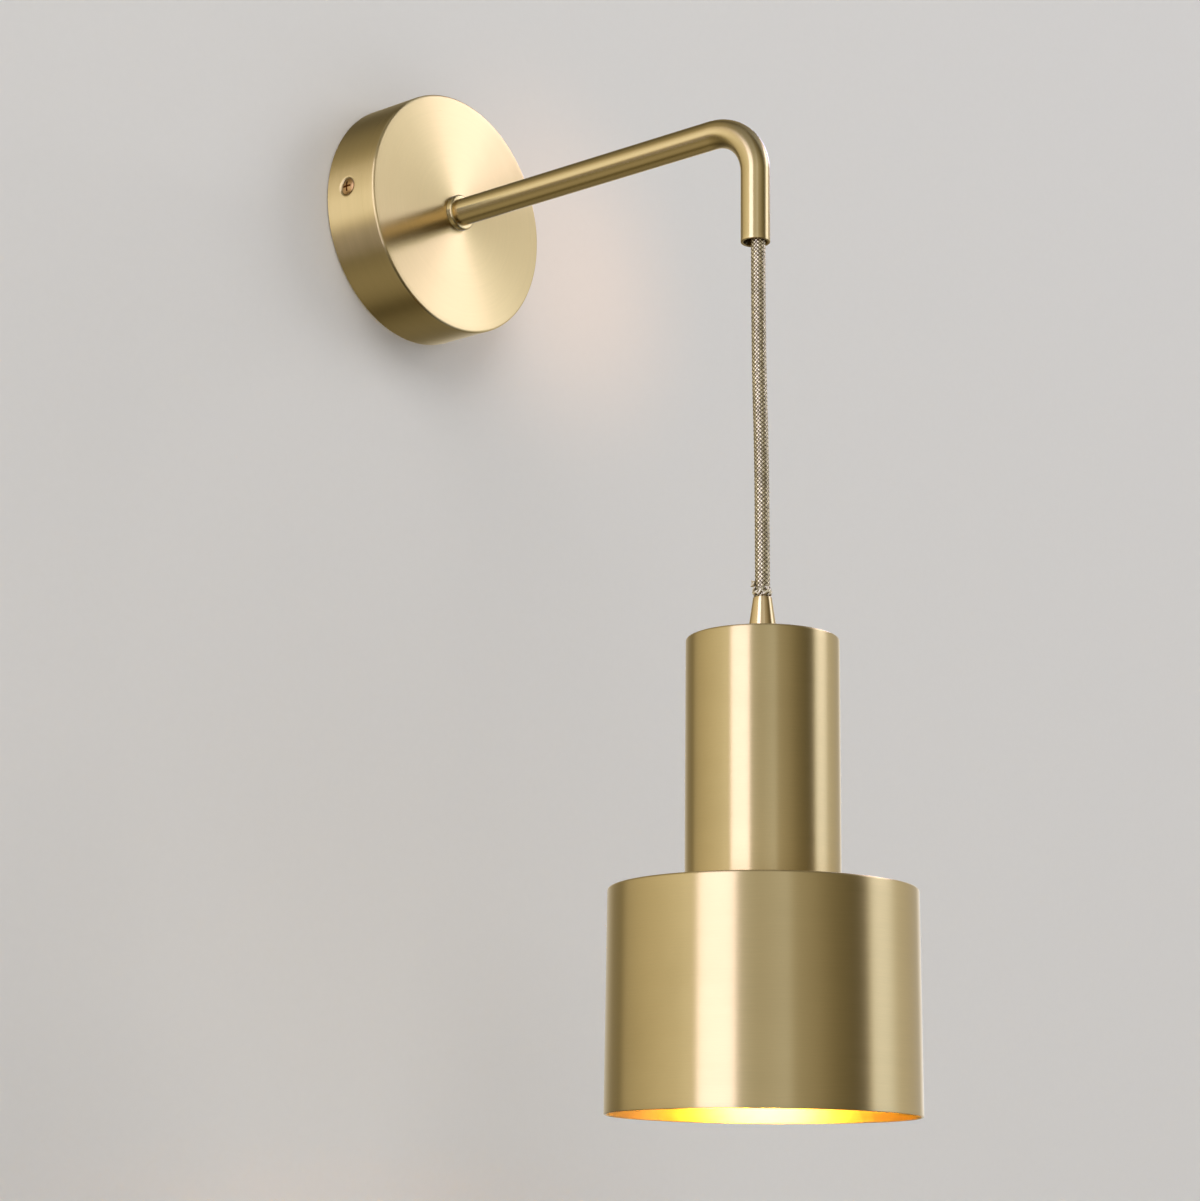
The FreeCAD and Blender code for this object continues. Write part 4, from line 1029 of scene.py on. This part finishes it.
class ScrewDents:
    """The two pressed countersinks in the dish's side, in metres.

    Distance from a hole's middle is measured on the unrolled side. Inside the mouth the wall goes
    in by mouth radius minus distance, at most the cup's depth, with a softened lip."""
    mouth = 0.0043
    depth = 0.0021
    lip = 0.00022
    skin = 0.0016             # what lies deeper than this under the dish's side isn't pressed

    def __init__(self, radius):
        self.radius = radius

    def columns(self, around):
        """Shares of a turn, with many more columns near the two holes."""
        reach = (self.mouth + self.lip * 4) / (TURN * self.radius)
        near = np.linspace(-reach, reach, 65)
        holes = (0.0, 0.5)
        far = [share for share in around
               if min(abs((share - hole + 0.5) % 1 - 0.5) for hole in holes) > reach * 1.05]
        return np.sort(np.concatenate([(near + hole) % 1 for hole in holes] + [far]))

    def press(self, radius, height, around):
        """The radius after pressing, for walls near the dish's own radius."""
        share = np.minimum(np.abs((around + 0.5) % 1 - 0.5), np.abs(around - 0.5))
        distance = np.hypot(share[None] * TURN * self.radius, height - SCREW_PLACE)
        lip, depth = self.lip, self.depth
        slope = lip * np.log1p(np.exp(np.clip((self.mouth - distance) / lip, -30, 30)))
        sink = -lip * np.log(np.exp(-slope / lip) + np.exp(-depth / lip))
        sink = np.clip(sink + lip * np.log1p(math.exp(-depth / lip)), 0, depth)
        return np.where(radius > self.radius - self.skin, radius - sink, radius)


def fine_band(profile, low, high, inner, step=0.00016):
    """The profile with rows a step apart where its sides pass the two holes' heights."""
    outline, length, _ = profile
    places = [length]
    for (r0, h0), (r1, h1), start, stop in zip(outline[:-1], outline[1:], length[:-1], length[1:]):
        if min(r0, r1) > inner and min(h0, h1) < high and max(h0, h1) > low and abs(h1 - h0) > 1e-6:
            places.append(np.linspace(start, stop, int(math.ceil((stop - start) / step)) + 1)[1:-1])
    return profile_at(profile, np.unique(np.concatenate(places)))


def cup(hole, top_radius, top, rim_radius, rim, wall):
    """A shell's outline, as radius and height: a top with a hole in it, a side, and the inside."""
    return [(hole, top), (top_radius, top), (rim_radius, rim), (rim_radius - wall, rim),
            (top_radius - wall, top - wall), (hole, top - wall)]


def dish_mesh(sizes):
    """The wall dish: a turned cup with a rounded front edge, and two pressed holes in its side."""
    radius = sizes.dish_radius
    outline = cup(THREAD_HOLE, radius, float(-DISH_LOW[1]), radius, 0.0, sizes.dish_wall)
    profile = refine(rounded_profile(outline, [0, sizes.dish_edge, 0.00025, 0, 0.0006, 0], 8), 0.002)
    reach = 0.0052
    profile = fine_band(profile, SCREW_PLACE - reach, SCREW_PLACE + reach, radius - 0.002)
    return turned("dish_shell", profile, (0, 0, 0), (0, -1, 0), 288, ScrewDents(radius))


def collar_mesh(sizes):
    """The beaded ring at the arm's foot."""
    near, far = float(-COLLAR_HIGH[1]), float(-COLLAR_LOW[1])
    outer, bore, bevel = COLLAR_RADIUS, sizes.tube_radius - sizes.tube_wall, 0.0006
    outline = [(bore, far), (outer - bevel, far), (outer, far - bevel), (outer, near), (bore, near)]
    profile = refine(rounded_profile(outline, [0.0002, 0.0009, 0.0007, 0.0005, 0], 8), 0.0006)
    return turned("arm_foot_ring", profile, (0, 0, 0), (0, -1, 0), 160)


def tube_mesh(sizes, columns=128):
    """The bent tube: a ring of points carried along the arm, round the bend and down to the mouth.

    Along the straight runs the ring moves on, and in the bend it turns about the bend's centre.
    Outside forward, the rounded mouth, then inside back, so that the wall closes on itself."""
    start = float(-COLLAR_LOW[1]) - 0.0004
    reach = float(-TUBE_LOW[1]) - sizes.tube_radius
    drop = float(-TUBE_LOW[2])
    bend = sizes.bend_radius
    lengths = (reach - bend - start, bend * math.pi / 2, drop - bend)
    stations = np.unique(np.concatenate([
        np.linspace(0, lengths[0], 24), lengths[0] + np.linspace(0, lengths[1], 49),
        lengths[0] + lengths[1] + np.linspace(0, lengths[2], 14)]).round(7))
    edge = np.linspace(0, math.pi / 2, 5)
    lip = 0.00025
    outer, inner = sizes.tube_radius, sizes.tube_radius - sizes.tube_wall
    rim = sum(lengths) - lip
    mouth_s = np.concatenate([rim + lip * np.sin(edge), rim + lip * np.cos(edge)])
    mouth_r = np.concatenate([outer - lip + lip * np.cos(edge), inner + lip - lip * np.sin(edge)])
    body = stations[stations < rim - 1e-6]
    place = np.concatenate([body, mouth_s, body[::-1]])
    radius = np.concatenate([np.full(len(body), outer), mouth_r, np.full(len(body), inner)])
    in_bend = np.clip((place - lengths[0]) / lengths[1], 0, 1) * math.pi / 2
    before = np.minimum(place, lengths[0])
    after = np.maximum(place - lengths[0] - lengths[1], 0)
    y = -(start + before + bend * np.sin(in_bend))
    z = -(bend * (1 - np.cos(in_bend)) + after)
    line = np.stack([np.zeros_like(y), y, z], axis=1)
    across = np.stack([np.zeros_like(y), -np.sin(in_bend), np.cos(in_bend)], axis=1)
    turn = np.arange(columns) / columns
    points = rings(line, radius[:, None, None], X_AXIS[None], across, turn)
    tone = np.zeros(points.shape[:2])
    # The mouth's lip gets tone 1, which the brass paints lighter: part wear, part painted highlight.
    tone[len(body):len(body) + len(mouth_s)] = 1.0
    length = run_lengths(np.stack([place, radius], axis=1))
    return surface("arm_tube_shell", points, length, turn, closed_along=True, tone=tone)


def pendant_shell(name, outline, radii, longest=0.004, columns=384):
    """A shell turned about the pendant's axis from radius and height."""
    profile = refine(rounded_profile(outline, radii, 6), longest)
    return turned(name, profile, (0, PENDANT_Y, 0), (0, 0, 1), columns)


class SCONCE_OT_dish(bpy.types.Operator):
    """The brushed wall dish and the ring at the arm's foot"""
    bl_idname = "sconce.dish"
    bl_label = "Wall Dish"

    def execute(self, context):
        sizes = settings()[0]
        piece = add_piece(finished(dish_mesh(sizes)), "dish", "wall_arm", "brass_satin", "canopy")
        piece.visible_glossy = False      # the arm's light streak runs on to its foot, as in the photograph
        add_piece(finished(collar_mesh(sizes)), "tube", "wall_arm", "brass_satin", "arm_collar")
        return {"FINISHED"}


class SCONCE_OT_arm(bpy.types.Operator):
    """The bent arm tube"""
    bl_idname = "sconce.arm"
    bl_label = "Arm Tube"

    def execute(self, context):
        tube = finished(tube_mesh(settings()[0]), sharp=50.0)
        add_piece(tube, "tube", "wall_arm", "brass_satin", "arm_tube")
        return {"FINISHED"}


class SCONCE_OT_pendant(bpy.types.Operator):
    """The polished grip, the neck and the shade"""
    bl_idname = "sconce.pendant"
    bl_label = "Pendant Shells"

    def execute(self, context):
        sizes = settings()[0]
        wall, edge = sizes.shell_wall, sizes.shell_edge
        top, stem = float(GRIP_HIGH[2]), float(GRIP_LOW[2])
        neck_top, neck_foot = float(NECK_HIGH[2]), float(NECK_LOW[2])
        shade_top, rim = float(SHADE_HIGH[2]), float(SHADE_LOW[2])
        grip = pendant_shell(
            "grip_turned",
            [(GRIP_BORE, top), (GRIP_NARROW, top), (GRIP_WIDE, neck_top), (GRIP_STEM, neck_top),
             (GRIP_STEM, stem), (GRIP_BORE, stem)],
            [0.0002, 0.0004, 0.00015, 0, 0.0003, 0], longest=0.002, columns=128)
        add_piece(finished(grip), "polished", "pendant", "brass_polished", "cord_grip")
        radius = float(NECK_HIGH[0])
        neck = pendant_shell("neck_shell", cup(THREAD_HOLE, radius, neck_top, radius, neck_foot, wall),
                             [0, edge, 0.0001, 0.0001, 0.0004, 0])
        add_piece(finished(neck), "shell", "pendant", "brass_satin", "neck")
        shade = pendant_shell(
            "shade_shell", cup(HOLDER_HOLE, SHADE_TOP_RADIUS, shade_top, SHADE_RIM_RADIUS, rim, wall),
            [0, edge, 0.00025, 0.00025, 0.0004, 0])
        x, y, z = vertex_places(shade).T
        from_axis = np.hypot(x, y - PENDANT_Y)
        mark(shade, "inside", (from_axis < SHADE_TOP_RADIUS - wall / 2) & (z < shade_top - wall / 2))
        add_piece(finished(shade), "shell", "pendant", "brass_satin", "shade")
        return {"FINISHED"}


# ---- Carried-over pieces -------------------------------------------------------------------------

class SCONCE_OT_fittings(bpy.types.Operator):
    """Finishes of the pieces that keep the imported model's shape"""
    bl_idname = "sconce.fittings"
    bl_label = "Fittings and Bulb"

    def execute(self, context):
        for name, node in NODES.items():
            if node.hide_render:
                continue
            slot = node.data.materials[0].name.split(".")[0]
            if slot not in MATERIALS:
                raise RuntimeError(f"{name} has no finish for {slot}")
            node.material_slots[0].material = MATERIALS[slot]
        return {"FINISHED"}


class SCONCE_PT_panel(bpy.types.Panel):
    """The lamp's steps and settings"""
    bl_label = "Wall Sconce"
    bl_idname = "SCONCE_PT_panel"
    bl_space_type = "VIEW_3D"
    bl_region_type = "UI"
    bl_category = "Sconce"

    def draw(self, context):
        for operator in OPERATORS:
            self.layout.operator(operator.bl_idname)
        for group in settings():
            column = self.layout.column()
            for key in group.__annotations__:
                column.prop(group, key)


GROUPS = (("sconce_sizes", SconceSizes), ("sconce_colours", SconceColours), ("sconce_light", SconceLight))
OPERATORS = (SCONCE_OT_stage, SCONCE_OT_cord, SCONCE_OT_dish, SCONCE_OT_arm, SCONCE_OT_pendant,
             SCONCE_OT_fittings)


def register():
    """Registers the settings, the operators and the panel."""
    for name, group in GROUPS:
        bpy.utils.register_class(group)
        setattr(bpy.types.Scene, name, bpy.props.PointerProperty(type=group))
    for operator in OPERATORS:
        bpy.utils.register_class(operator)
    bpy.utils.register_class(SCONCE_PT_panel)


def unregister():
    """Undoes register."""
    bpy.utils.unregister_class(SCONCE_PT_panel)
    for operator in reversed(OPERATORS):
        bpy.utils.unregister_class(operator)
    for name, group in reversed(GROUPS):
        delattr(bpy.types.Scene, name)
        bpy.utils.unregister_class(group)


def main():
    """Builds the whole lamp."""
    register()
    make_materials()
    for operator in OPERATORS:
        group, call = operator.bl_idname.split(".")
        getattr(getattr(bpy.ops, group), call)()


if __name__ == "__main__":
    main()
